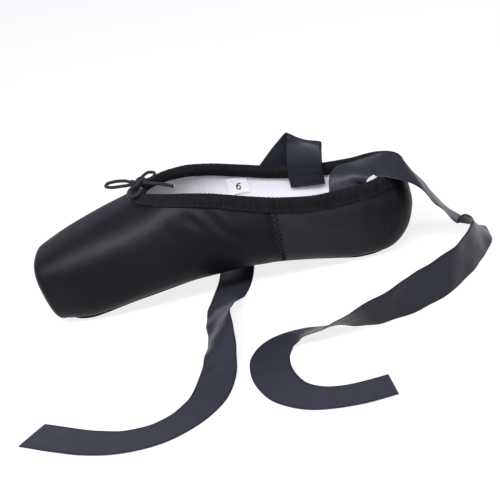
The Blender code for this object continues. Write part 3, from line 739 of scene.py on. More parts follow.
@dataclass(frozen=True)
class Last:
    """Form of the shoe: sections across it, from the toe platform to the back of the heel."""

    length: float = 0.235
    ball_width: float = 0.0745
    instep_height: float = 0.0675
    heel_height: float = 0.0485
    arch_rise: float = 0.0098
    platform_lean: float = 0.0065
    platform_edge: float = 0.0042
    lean_reach: float = 0.0566
    throat: float = 0.0755
    outsole: float = 0.0024
    fit_gap: float = 0.0003
    heel_plan_radius: float = 0.027
    heel_radius: float = 0.026
    quarter_wall: float = 0.0020
    box_wall: float = 0.0030
    platform_wall: float = 0.0055
    flank_full: float = 2.3
    flat_limit: float = 0.8
    flat_share: float = 0.16
    widest_share: float = 0.5
    throat_reach: float = 0.012
    heel_left: float = 0.0001
    sections: Table = Table(
        ("along", "half_width", "flat", "belly", "crown", "stiff", "full"),
        (
            (0.000, 0.680, 0.330, 0.295, 0.622, 1.00, 2.50),
            (0.035, 0.750, 0.400, 0.315, 0.678, 1.00, 2.45),
            (0.080, 0.830, 0.480, 0.330, 0.745, 1.00, 2.40),
            (0.140, 0.905, 0.560, 0.340, 0.818, 1.00, 2.30),
            (0.210, 0.965, 0.600, 0.345, 0.895, 1.00, 2.25),
            (0.300, 1.000, 0.600, 0.355, 0.978, 0.60, 2.20),
            (0.345, 1.000, 0.580, 0.360, 1.030, 0.35, 2.20),
            (0.395, 0.980, 0.550, 0.365, 1.100, 0.10, 2.20),
            (0.450, 0.955, 0.520, 0.365, 1.150, 0.00, 2.20),
            (0.550, 0.915, 0.470, 0.350, 1.145, 0.00, 2.20),
            (0.660, 0.870, 0.450, 0.345, 1.110, 0.00, 2.20),
            (0.780, 0.815, 0.470, 0.350, 1.080, 0.00, 2.20),
            (0.890, 0.745, 0.460, 0.370, 1.080, 0.00, 2.20),
            (1.000, 0.710, 0.420, 0.400, 1.080, 0.00, 2.20),
        ),
    )
    sole_line: Table = Table(
        ("along", "rise"),
        (
            (0.00, 0.00),
            (0.10, 0.00),
            (0.14, 0.10),
            (0.20, 0.34),
            (0.26, 0.58),
            (0.33, 0.80),
            (0.40, 0.94),
            (0.47, 1.00),
            (0.54, 0.97),
            (0.62, 0.82),
            (0.70, 0.54),
            (0.78, 0.22),
            (0.84, 0.00),
            (1.00, 0.00),
        ),
    )
    rim_line: Table = Table(
        ("behind", "height"),
        (
            (0.00, 0.960),
            (0.07, 0.990),
            (0.15, 0.960),
            (0.25, 0.811),
            (0.37, 0.515),
            (0.52, 0.168),
            (0.66, -0.020),
            (0.80, -0.040),
            (0.91, 0.069),
            (1.00, 0.158),
        ),
    )

    def read(self, name: str, distance: np.ndarray) -> np.ndarray:
        """A column of the sections at a distance from the toe."""
        return self.sections.read(name, np.asarray(distance) / self.length)

    def to_x(self, distance: np.ndarray) -> np.ndarray:
        """Place along X of a distance from the toe."""
        return distance - self.length / 2

    def wall(self, distance: np.ndarray) -> np.ndarray:
        """Thickness of the wall."""
        return self.quarter_wall + (self.box_wall - self.quarter_wall) * self.read("stiff", distance)

    @staticmethod
    def round_end(distance: np.ndarray, end: float, radius: float) -> np.ndarray:
        """Quarter circle that falls from 1 to 0 over the last radius before the end."""
        past = np.clip((distance - (end - radius)) / radius, 0, 1)
        return np.sqrt(np.maximum(1 - past**2, 0))

    def section(self, distance: np.ndarray, inset: np.ndarray | float = 0.0) -> dict[str, np.ndarray]:
        """Sizes of the sections.

        Args:
            distance: Distances from the toe.
            inset: How far the form is drawn in.

        Returns:
            Half width, half width of the flat sole, widest level, depth below it, height above it and
            exponent of the upper flank.
        """
        distance = np.asarray(distance, dtype=float)
        half_ball = self.ball_width / 2
        end = self.length - np.minimum(inset, self.quarter_wall)
        drawn = self.length - end
        rise = self.sole_line.read("rise", distance / self.length) * self.arch_rise
        seat = rise + self.outsole + self.fit_gap
        plan = self.round_end(distance, end, self.heel_plan_radius - drawn)
        turn = self.round_end(distance, end, self.heel_radius - drawn)
        belly = seat + self.read("belly", distance) * self.instep_height
        crown = self.read("crown", distance) * self.instep_height
        return {
            "half": (self.read("half_width", distance) * half_ball - inset) * plan,
            "flat": self.read("flat", distance) * half_ball * plan,
            "belly": belly,
            "down": (belly - seat - inset) * turn,
            "up": (crown - belly - inset) * turn,
            "full": self.read("full", distance),
        }

    def foot_lean(self, distance: np.ndarray) -> np.ndarray:
        """How far the sole of a section stands behind its top."""
        fade = np.clip(1 - distance / self.lean_reach, 0, 1)
        return self.platform_lean * fade * fade * (3 - 2 * fade)

    def corner(self, angle: np.ndarray, across: np.ndarray, high: np.ndarray, full: np.ndarray) -> tuple:
        """Quarter of a superellipse: radius (|cos/across|^full + |sin/high|^full)^(-1/full)."""
        c = np.maximum(np.cos(angle), 0)
        s = np.maximum(np.sin(angle), 0)
        radius = ((c / across) ** full + (s / high) ** full) ** (-1 / full)
        return radius * c, radius * s

    def rim_height(self, distance: np.ndarray) -> np.ndarray:
        """Height of the opening's edge."""
        behind = (np.asarray(distance) - self.throat) / (self.length - self.throat)
        top = float(self.read("crown", self.throat)) * self.instep_height
        return self.heel_height + self.rim_line.read("height", behind) * (top - self.heel_height)

    def rim_end(self) -> float:
        """Distance at which the edge of the opening passes the back of the heel."""
        low = self.length - self.heel_radius
        high = self.length
        for _ in range(40):
            middle = (low + high) / 2
            size = self.section(middle)
            if size["belly"] + size["up"] > self.rim_height(middle):
                low = middle
            else:
                high = middle
        return low

    def value(self, points: np.ndarray, inner: bool) -> np.ndarray:
        """How far points lie outside the form: 0 on it, upper and lower flank each by its superellipse."""
        distance = points[..., 0] + self.length / 2
        size = self.section(distance, self.wall(distance) if inner else 0.0)
        half = np.maximum(size["half"], TINY)
        flat = np.minimum(size["flat"], half * self.flat_limit)
        across = np.abs(points[..., 1])
        above = np.maximum(points[..., 2] - size["belly"], 0) / np.maximum(size["up"], TINY)
        below = np.maximum(size["belly"] - points[..., 2], 0) / np.maximum(size["down"], TINY)
        upper = ((across / half) ** size["full"] + above ** size["full"]) ** (1 / size["full"])
        flank = np.maximum(across - flat, 0) / (half - flat)
        lower = (flank**self.flank_full + below**self.flank_full) ** (1 / self.flank_full)
        return np.where(points[..., 2] >= size["belly"], upper, lower) - 1

    def slope(self, points: np.ndarray, inner: bool) -> np.ndarray:
        """Direction and steepness of the value, by differences."""
        reach = 2e-5
        out = np.zeros_like(points)
        for axis in range(3):
            shift = np.zeros(3)
            shift[axis] = reach
            rise = self.value(points + shift, inner) - self.value(points - shift, inner)
            out[..., axis] = rise / (2 * reach)
        return out

    def drop(self, points: np.ndarray, inner: bool = False) -> tuple[np.ndarray, np.ndarray]:
        """Points brought straight onto the wall.

        Args:
            points: Points near the wall.
            inner: True for its inner side.

        Returns:
            The points on the wall and its outward normals.
        """
        limit = self.to_x(self.length - (self.quarter_wall if inner else 0.0) - self.heel_left)
        for _ in range(8):
            slope = self.slope(points, inner)
            step = self.value(points, inner) / np.maximum(np.sum(slope**2, axis=-1), 1e-9)
            points = points - slope * step[..., None]
            points[..., 0] = np.minimum(points[..., 0], limit)
        return points, unit(self.slope(points, inner))

    def rim(self, count: int) -> tuple[np.ndarray, np.ndarray, np.ndarray]:
        """Even points round the opening's edge, from the throat over the far side.

        Args:
            count: How many.

        Returns:
            The points, the directions out of the wall and the directions down the wall.
        """
        half_turn = 600
        fine = np.linspace(0, TURN, 2 * half_turn + 1)
        front = self.throat
        back = self.rim_end()
        distance = (front + back) / 2 - (back - front) / 2 * np.cos(fine)
        size = self.section(distance)
        high = np.clip((self.rim_height(distance) - size["belly"]) / size["up"], 0, 1)
        side = np.where(fine <= math.pi, FAR, NEAR)
        y = size["half"] * (1 - high ** size["full"]) ** (1 / size["full"]) * side
        y[::half_turn] = 0
        path = np.column_stack((self.to_x(distance), y, self.rim_height(distance)))
        edge, outward = self.drop(resample(path[:-1], count, closed=True))
        ahead = np.roll(edge, -1, axis=0) - np.roll(edge, 1, axis=0)
        down = unit(np.cross(outward, ahead))
        down *= np.where(down[:, 2:] > 0, -1, 1)
        return edge, outward, down

    def skin(
        self, distances: np.ndarray, columns: int, inner: bool, edge_steps: int, below_rim: float
    ) -> tuple[np.ndarray, np.ndarray]:
        """Grid over the whole form, from the middle of the platform to the back of the heel.

        Each row is one section, run from the near edge of the opening (or the crown) down the near
        side, under the sole and up the far side. A skin's own normal points inwards.

        Args:
            distances: Distances of the body's rows.
            columns: Points on one half of a row.
            inner: True for the inner side.
            edge_steps: Rows over the platform's rounded edge.
            below_rim: How far under the opening's edge the skin ends.

        Returns:
            The points, and how far along the half section each column lies (0 sole, 1 top).
        """
        start = self.platform_wall if inner else 0.0
        turn = np.linspace(0, QUARTER, edge_steps + 1)[:-1]
        rounded = start + self.platform_edge * (1 - np.cos(turn))
        draw = self.platform_edge * (1 - np.sin(turn))
        disc = np.linspace(END_SHARE, 1, 14)[:-1]
        where = np.concatenate((np.full(len(disc), start), rounded, distances))
        drawn = np.concatenate((np.full(len(disc), self.platform_edge), draw, np.zeros(len(distances))))
        size = self.section(where, self.wall(where) if inner else 0.0)
        for key in ("half", "down", "up"):
            size[key] = np.maximum(size[key] - drawn, TINY)
        size["flat"] = np.minimum(size["flat"], size["half"] * self.flat_limit)
        size = {key: value[:, None] for key, value in size.items()}
        share = np.linspace(0, 1, columns)
        on_flat = np.clip(share / self.flat_share, 0, 1)
        on_low = np.clip((share - self.flat_share) / (self.widest_share - self.flat_share), 0, 1)
        on_high = np.clip((share - self.widest_share) / (1 - self.widest_share), 0, 1)
        top = self.top_angle(where, size, below_rim)
        low_y, low_z = self.corner(
            np.broadcast_to((1 - on_low) * QUARTER, (len(where), columns)),
            size["half"] - size["flat"],
            size["down"],
            self.flank_full,
        )
        high_y, high_z = self.corner(on_high * top, size["half"], size["up"], size["full"])
        under = np.where(share < self.flat_share, size["flat"] * on_flat, size["flat"] + low_y)
        y = np.where(share < self.widest_share, under, high_y)
        z = np.where(share < self.widest_share, -low_z, high_z) + size["belly"]
        middle = (size["up"] - size["down"]) / 2 + size["belly"]
        shrink = np.concatenate((disc, np.ones(len(where) - len(disc))))[:, None]
        y = y * shrink
        z = middle + (z - middle) * shrink
        low = size["belly"] - size["down"]
        lean = self.foot_lean(where)[:, None] * (1 - (z - low) / (size["up"] + size["down"]))
        half = np.stack((self.to_x(where[:, None] + lean), y, z), axis=-1)
        near = half[:, ::-1] * np.array((1, -1, 1))
        grid = np.concatenate((near, half[:, 1:]), axis=1)
        return grid, np.concatenate((share[::-1], share[1:]))

    def top_angle(self, where: np.ndarray, size: dict[str, np.ndarray], below_rim: float) -> np.ndarray:
        """Angle of the upper flank at which the skin ends: a right angle where the form is closed."""
        high = np.clip((self.rim_height(where)[:, None] - below_rim - size["belly"]) / size["up"], 0, 1)
        y = size["half"] * (1 - high ** size["full"]) ** (1 / size["full"])
        cut = np.arctan2(high * size["up"], y)
        open_here = (where > self.throat) & (where < self.rim_end())
        return np.where(open_here[:, None], cut, QUARTER)

    def stations(self, body: int, near_throat: int, heel: int, inner: bool) -> np.ndarray:
        """Distances of the rows, close together at the throat and at the heel.

        Args:
            body: Rows over the straight stretches.
            near_throat: Rows on each side of the throat.
            heel: Rows round the heel.
            inner: True for the inner side.

        Returns:
            The distances, rising.
        """
        start = (self.platform_wall if inner else 0.0) + self.platform_edge
        end = self.length - (self.quarter_wall if inner else 0.0) - self.heel_left
        close = self.throat_reach
        heel_start = end - self.heel_radius
        to_throat = np.linspace(start, self.throat - close, body // 3)
        before = self.throat - close * np.linspace(1, 0, near_throat)[1:] ** 1.5
        after = self.throat + close * np.linspace(0, 1, near_throat)[1:] ** 1.5
        quarter = np.linspace(self.throat + close, heel_start, body - body // 3)[1:]
        back = heel_start + (end - heel_start) * np.sin(np.linspace(0, QUARTER, heel)[1:])
        return np.concatenate((to_throat, before, after + 1e-6, quarter, back))

    def skin_faces(self, distances: np.ndarray, grid: np.ndarray) -> np.ndarray:
        """Faces of a skin, with its rows joined where the form is closed at the top.

        The small rings in the middle of the platform and at the back of the heel are closed by faces that
        each join two neighbours on one side of the ring with the two opposite them.

        Args:
            distances: Distances of the body's rows.
            grid: Points of the skin.

        Returns:
            Rows of four point numbers.
        """
        rows, columns = grid.shape[:2]
        where = np.concatenate((np.zeros(rows - len(distances)), distances))
        closed = (where <= self.throat) | (where >= self.rim_end())
        numbers = np.arange(rows * columns).reshape(rows, columns)
        numbers[closed, -1] = numbers[closed, 0]
        body = numbers.ravel()[grid_faces(rows, columns, False, False)]
        rings = numbers[[0, -1], :-1]
        opposite = rings[:, ::-1]
        middle = rings.shape[1] // 2
        toe, heel = np.stack(
            (
                rings[:, : middle - 1],
                rings[:, 1:middle],
                opposite[:, 1:middle],
                opposite[:, : middle - 1],
            ),
            axis=-1,
        )
        return np.concatenate((body, toe[:, ::-1], heel))


@dataclass(frozen=True)
class Crease:
    """Soft trough or ridge in cloth, drawn as a stroke over one side of the shoe.

    The depth falls off with the square of the distance as exp(-(d/width)^2), and towards the stroke's ends
    with a sine. A trough has a low shoulder on each side.
    """

    stroke: tuple[tuple[float, float], ...]
    side: int
    depth: float
    width: float
    shoulder_height: float = 0.35
    shoulder_place: float = 2.1
    start_y: float = 0.030

    def relief(self, last: Last, points: np.ndarray) -> np.ndarray:
        """Height that the crease adds at each point."""
        rough = np.array([(x, self.side * self.start_y, z) for x, z in self.stroke])
        stroke, _ = last.drop(curve_through(rough, 14))
        gap, share = stroke_distance(points, stroke)
        ends = np.sin(np.clip(share, 0.0, 1.0) * math.pi * 0.92 + 0.12) ** 0.7
        trough = np.exp(-((gap / self.width) ** 2))
        shoulder = np.exp(-(((gap - self.shoulder_place * self.width) / self.width) ** 2))
        return self.depth * ends * (self.shoulder_height * shoulder - trough)


# Pieces of the shoe


@dataclass(frozen=True)
class Upper:
    """Satin outside and cotton lining inside, each one skin over the last."""

    last: Last
    columns: int = 92
    body_rows: int = 190
    throat_rows: int = 12
    heel_rows: int = 34
    edge_rows: int = 9
    below_rim: float = 0.0006
    lining_columns: int = 56
    lining_body_rows: int = 120
    lining_heel_rows: int = 26
    lining_edge_rows: int = 6
    lining_below_rim: float = 0.0030
    lining_slack: float = 0.00012
    lining_seam_depth: float = 0.0004
    lining_seam_width: float = 0.0007
    sole_share: float = 0.2
    sole_lift: float = 0.0001
    drag: float = 0.00022
    pleat_depth: float = 0.0006
    pleat_count: int = 34
    pleat_reach: float = 0.0065
    pleat_centre: float = 0.030
    pleat_end_x: float = -0.070
    pleat_fade: float = 0.012
    groove_depth: float = 0.0009
    groove_width: float = 0.0011
    groove_to_seam: float = 0.0030
    creases: tuple[Crease, ...] = (
        Crease(((-0.0168, 0.0541), (-0.0124, 0.0497), (-0.0083, 0.0441)), NEAR, 0.00060, 0.0022),
        Crease(((-0.0040, 0.0488), (0.0068, 0.0394), (0.0176, 0.0293)), NEAR, 0.00062, 0.0026),
        Crease(((-0.0091, 0.0593), (-0.0032, 0.0521), (0.0014, 0.0441)), NEAR, 0.00050, 0.0022),
        Crease(((-0.0300, 0.0560), (-0.0280, 0.0470), (-0.0235, 0.0390)), NEAR, 0.00035, 0.0030),
        Crease(((0.1068, 0.0206), (0.1036, 0.0179), (0.1009, 0.0151)), NEAR, 0.00045, 0.0018),
        Crease(
            ((0.0440, 0.0420), (0.0540, 0.0340), (0.0680, 0.0290), (0.0820, 0.0280)), NEAR, 0.00045, 0.0030
        ),
        Crease(((0.0950, 0.0420), (0.0900, 0.0300), (0.0890, 0.0180)), NEAR, 0.00035, 0.0026),
        Crease(((-0.0120, 0.0580), (-0.0140, 0.0460), (-0.0090, 0.0340)), FAR, 0.00090, 0.0030),
        Crease(((0.0010, 0.0550), (-0.0010, 0.0440), (0.0060, 0.0310)), FAR, 0.00075, 0.0027),
        Crease(((0.0480, 0.0410), (0.0600, 0.0330), (0.0760, 0.0300)), FAR, 0.00045, 0.0030),
    )

    def build(self) -> None:
        """Make both skins."""
        self.satin()
        self.lining()

    def satin(self) -> None:
        """Outer skin: sections of the last, plus creases, pleats round the sole and the seam's groove."""
        last = self.last
        distances = last.stations(self.body_rows, self.throat_rows, self.heel_rows, False)
        grid, share = last.skin(distances, self.columns, False, self.edge_rows, self.below_rim)
        normal = -grid_normals(grid)
        height = self.cloth_relief(grid)
        for crease in self.creases:
            height = height + crease.relief(last, grid)
        height = height + self.pleats(grid, normal) + self.groove(grid)
        shaped = grid + normal * height[..., None]
        shaped[..., 2] = np.where(share < self.sole_share, grid[..., 2] + self.sole_lift, shaped[..., 2])
        faces = last.skin_faces(distances, grid)[:, ::-1]
        upper = make_object("upper_satin", shaped.reshape(-1, 3), faces)
        dress(upper, Cloth.SATIN)
        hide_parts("upper")

    def cloth_relief(self, grid: np.ndarray) -> np.ndarray:
        """Slow unevenness of cloth over paste: three crossing waves, strongest behind the box."""
        x = grid[..., 0]
        y = grid[..., 1]
        z = grid[..., 2]
        wave = (
            np.sin(x * 96 + z * 151 + np.sin(y * 120))
            + 0.8 * np.sin(x * 187 - z * 92 + 2 * np.sin(x * 40 + y * 70))
            + 0.5 * np.sin(z * 310 + x * 61 + 3 * np.sin(y * 95))
        )
        soft = np.clip((x + 0.060) / 0.045, 0.25, 1)
        return wave * self.drag * soft

    def pleats(self, grid: np.ndarray, normal: np.ndarray) -> np.ndarray:
        """Gathers that run out from under the sole's toe: |cos| of the angle round it, fading outwards."""
        front = self.last.to_x(self.pleat_centre)
        angle = np.arctan2(grid[..., 1], -(grid[..., 0] - front))
        folds = np.abs(np.cos(angle * self.pleat_count / 2 + 0.7 * np.sin(5 * angle))) - 0.6
        low = np.clip((-normal[..., 2] + 0.15) / 0.75, 0, 1)
        toe = np.clip((self.pleat_end_x - grid[..., 0]) / self.pleat_fade, 0, 1)
        level = np.clip(1 - (grid[..., 2] - 0.002) / self.pleat_reach, 0, 1)
        return folds * low * toe * level * self.pleat_depth

    def groove(self, grid: np.ndarray) -> np.ndarray:
        """Trough on the toe side of each side seam."""
        gap = grid[..., 0] - (self.last.to_x(SIDE_SEAM) - self.groove_to_seam)
        side = np.clip((grid[..., 2] - 0.012) / 0.004, 0, 1)
        return -self.groove_depth * np.exp(-((gap / self.groove_width) ** 2)) * side

    def lining(self) -> None:
        """Inner skin, faces towards the foot, with a shallow seam line on each side."""
        last = self.last
        distances = last.stations(self.lining_body_rows, self.throat_rows, self.lining_heel_rows, True)
        grid, _ = last.skin(
            distances, self.lining_columns, True, self.lining_edge_rows, self.lining_below_rim
        )
        normal = grid_normals(grid)
        x = grid[..., 0]
        z = grid[..., 2]
        slack = np.sin(x * 140 + z * 90 + np.sin(grid[..., 1] * 90)) + 0.7 * np.sin(x * 260 - z * 170)
        quarter = np.clip((x + 0.030) / 0.03, 0, 1)
        seam = np.exp(-(((x - last.to_x(LINING_SEAM)) / self.lining_seam_width) ** 2))
        height = slack * self.lining_slack * quarter - seam * self.lining_seam_depth
        shaped = grid + normal * height[..., None]
        lining = make_object("upper_lining", shaped.reshape(-1, 3), last.skin_faces(distances, grid))
        dress(lining, Cloth.LINING)


@dataclass(frozen=True)
class Binding:
    """Cotton tape folded over the opening's edge, gathered on its drawstring."""

    last: Last
    depth: float = 0.0070
    inner_depth: float = 0.0055
    thickness: float = 0.0008
    bulge: float = 0.0009
    gap: float = 0.0004
    count: int = 1500
    gathers: int = 146
    pucker: float = 0.00034
    sway: float = 0.00015
    stitch: tuple[float, float, float] = (0.0024, 0.7, 0.00015)
    sewn_at: float = 0.84
    outer: Table = Table(
        ("line", "below", "layers", "bulge"),
        (
            (0, 1.00, 0.00, 0.00),
            (1, 1.00, 0.60, 0.00),
            (2, 0.98, 0.95, 0.00),
            (3, 0.92, 1.00, 0.00),
            (4, 0.84, 0.85, 0.00),
            (5, 0.74, 1.00, 0.02),
            (6, 0.62, 1.00, 0.10),
            (7, 0.50, 1.00, 0.30),
            (8, 0.38, 1.00, 0.62),
            (9, 0.26, 1.00, 0.86),
            (10, 0.13, 1.00, 0.95),
            (11, 0.00, 0.90, 0.86),
            (12, -0.12, 0.65, 0.72),
            (13, -0.20, 0.30, 0.45),
        ),
    )
    inner: Table = Table(
        ("line", "below", "layers", "bulge"),
        (
            (0, -0.26, 0.30, 0.40),
            (1, -0.16, 0.65, 0.62),
            (2, 0.00, 0.90, 0.76),
            (3, 0.20, 1.00, 0.80),
            (4, 0.40, 1.00, 0.45),
            (5, 0.60, 1.00, 0.12),
            (6, 0.80, 0.90, 0.00),
            (7, 0.94, 1.00, 0.00),
            (8, 1.00, 0.60, 0.00),
            (9, 1.00, 0.00, 0.00),
        ),
    )

    def build(self) -> None:
        """Make the tape and the stitches along its lower edge; their paler thread also paints a thin
        highlight there.
        """
        edge, outward, down = self.last.rim(self.count)
        lines = [self.outer_line(edge, down, row) for row in self.outer.rows]
        lines.append(self.top_line(edge, outward, down))
        lines += [self.inner_line(edge, outward, down, row) for row in self.inner.rows]
        grid = np.stack(lines)
        tape = grid_object("binding_tape", grid, wrap_rows=True, wrap_columns=True, flip=True)
        dress(tape, Cloth.BINDING)
        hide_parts("binding")
        seam, up = self.last.drop(edge + down * self.depth * self.sewn_at)
        seam = seam + up * (self.gap + self.thickness)
        thread = stitches("binding_stitches", seam, up, *self.stitch, True)
        # the stitches are real, but the cord finish is paler than the tape, so the row also paints a
        # highlight along the tape's lower edge
        dress(thread, Cloth.CORD)

    def wave(self, offset: float, rate: float = 1.0) -> np.ndarray:
        """Uneven gathers round the opening: sine of the turn, its phase swayed by slower sines."""
        turn = np.linspace(0, TURN, self.count + 1)[:-1]
        sway = 1.9 * np.sin(3 * turn + offset) + 1.3 * np.sin(7 * turn + 2 * offset)
        sway = sway + 0.8 * np.sin(19 * turn)
        size = 0.65 + 0.35 * np.sin(11 * turn + 3 * offset)
        return np.sin(round(self.gathers * rate) * turn + sway) * size

    def lift(self, layers: float, bulge: float, below: float) -> np.ndarray:
        """Height over the wall: layers, casing and puckers that grow towards the stitched edge."""
        pucker = self.pucker * (0.35 + 0.65 * abs(below)) * min(layers, 1.0)
        casing = 1 + 0.12 * self.wave(1.1, 0.6)
        padding = bulge * self.bulge * casing
        return layers * self.thickness + padding + self.gap + pucker * (0.5 + 0.5 * self.wave(0.0))

    def outer_line(self, edge: np.ndarray, down: np.ndarray, row: tuple[float, ...]) -> np.ndarray:
        """One line of the tape outside the wall."""
        _, below, layers, bulge = row
        reach = below * self.depth + max(below - 0.5, 0) * 2 * self.sway * self.wave(0.4, 0.5)
        placed, normal = self.last.drop(edge + down * reach[..., None])
        return placed + normal * self.lift(layers, bulge, below)[:, None]

    def inner_line(
        self, edge: np.ndarray, outward: np.ndarray, down: np.ndarray, row: tuple[float, ...]
    ) -> np.ndarray:
        """One line of the tape inside the wall."""
        _, below, layers, bulge = row
        wall = self.last.wall(edge[:, 0] + self.last.length / 2)[:, None]
        reach = below * self.inner_depth + max(below - 0.5, 0) * self.sway * self.wave(2.4, 0.5)
        placed, normal = self.last.drop(edge - outward * wall + down * np.asarray(reach)[..., None], True)
        return placed - normal * self.lift(layers, bulge, below)[:, None]

    def top_line(self, edge: np.ndarray, outward: np.ndarray, down: np.ndarray) -> np.ndarray:
        """Line along the top of the fold."""
        wall = self.last.wall(edge[:, 0] + self.last.length / 2)[:, None]
        high = self.gap + self.thickness + self.bulge + self.pucker * 0.4 * self.wave(0.0)
        return edge - down * high[:, None] - outward * wall / 2


@dataclass(frozen=True)
class SideSeam:
    """Overlocked seam from the binding to the sole: a low cord of cloth under a zig-zag of thread."""

    last: Last
    side: int
    distance: float = SIDE_SEAM
    width: float = 0.0052
    below_rim: float = 0.0076
    low_angle: float = math.radians(62)
    pitch: float = 0.0029
    thread: float = 0.00024
    lift: float = 0.0003
    swell: float = 0.00036
    tuck: float = 0.0002
    reach: float = 0.34
    centre: float = 0.64
    inner_height: float = 0.030

    def build(self) -> None:
        """Make the band and its thread."""
        word = "near" if self.side == NEAR else "far"
        offsets = np.linspace(-0.5, 0.5, 9)
        path = np.stack([self.path(self.distance + offset * self.width, 90) for offset in offsets])
        normal = self.outwards(path)
        swell = self.swell * np.cos(offsets * math.pi) ** 0.5
        top = path + normal * (self.lift + swell)[:, None, None]
        bottom = path - normal * self.tuck
        ring = np.concatenate((top, bottom[::-1]))
        band = grid_object(f"side_seam_{word}_band", ring, wrap_rows=True, flip=self.side == FAR)
        dress(band, Cloth.SATIN)
        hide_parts(f"side_seam_{word}")
        zigzag = self.zigzag(top, normal)
        tube = tube_grid(zigzag, self.thread, 6)
        thread = grid_object(f"side_seam_{word}_thread", tube, wrap_columns=True)
        dress(thread, Cloth.BLACK_THREAD)

    def path(self, distance: float, count: int) -> np.ndarray:
        """Even points down one side at one distance."""
        last = self.last
        size = {key: float(value) for key, value in last.section(distance).items()}
        y, z = last.corner(np.linspace(math.radians(70), 0, 300), size["half"], size["up"], size["full"])
        keep = z + size["belly"] < float(last.rim_height(distance)) - self.below_rim
        turn = np.linspace(0, self.low_angle, 90)[1:]
        low_y, low_z = last.corner(turn, size["half"] - size["flat"], size["down"], last.flank_full)
        y = np.concatenate((y[keep], size["flat"] + low_y))
        z = np.concatenate((z[keep], -low_z)) + size["belly"]
        points = np.column_stack((np.full(len(y), float(last.to_x(distance))), self.side * y, z))
        return resample(points, count)

    def outwards(self, grid: np.ndarray) -> np.ndarray:
        """Normals of a grid of side points, turned away from the shoe's middle."""
        normal = grid_normals(grid)
        middle = np.array((float(self.last.to_x(self.distance)), 0.0, self.inner_height))
        return normal * np.sign(np.sum(normal * (grid - middle), axis=-1))[..., None]

    def zigzag(self, top: np.ndarray, normal: np.ndarray) -> np.ndarray:
        """Path of the thread: rounded triangle wave across the band, its pace and reach swayed by sines."""
        long = path_length(top[len(top) // 2])
        steps = 12
        count = int(long / self.pitch) * steps
        along = np.linspace(0, top.shape[1] - 1, count)
        turn = np.linspace(0, TURN * count / steps, count)
        wave = np.arcsin(0.96 * np.sin(turn + 0.5 * np.sin(turn / 5.3))) / QUARTER
        wave = wave * (0.88 + 0.12 * np.sin(turn / 3.7))
        across = (wave * self.reach + self.centre) * (len(top) - 1)
        a = np.clip(across.astype(int), 0, len(top) - 2)
        b = np.clip(along.astype(int), 0, top.shape[1] - 2)
        u = (across - a)[:, None]
        v = (along - b)[:, None]
        lifted = top + normal * self.thread * 0.8
        return (
            lifted[a, b] * (1 - u) * (1 - v)
            + lifted[a + 1, b] * u * (1 - v)
            + lifted[a, b + 1] * (1 - u) * v
            + lifted[a + 1, b + 1] * u * v
        )


@dataclass(frozen=True)
class Outline:
    """Plan outline of a sole piece, with round ends."""

    start: float
    end: float
    toe_radius: float
    heel_radius: float
    table: Table

    def width(self, distance: np.ndarray, ball_width: float) -> np.ndarray:
        """Half width: the table's, times a superellipse end of exponent 2.4 at toe and heel."""
        share = (distance - self.start) / (self.end - self.start)
        toe = np.clip((self.start + self.toe_radius - distance) / self.toe_radius, 0, 1)
        heel = np.clip((distance - self.end + self.heel_radius) / self.heel_radius, 0, 1)
        ends = np.sqrt(np.maximum(1 - toe**2.4, 0) * np.maximum(1 - heel**2.4, 0))
        return self.table.read("half_width", share) * ball_width / 2 * ends

    def distances(self, count: int) -> np.ndarray:
        """Distances along the piece, close together at its ends."""
        turn = np.linspace(0.06, QUARTER, 16)
        toe = self.start + self.toe_radius * (1 - np.cos(turn))
        heel = self.end - self.heel_radius * (1 - np.cos(turn[::-1]))
        body = np.linspace(self.start + self.toe_radius, self.end - self.heel_radius, count)[1:-1]
        return np.concatenate((toe, body, heel))


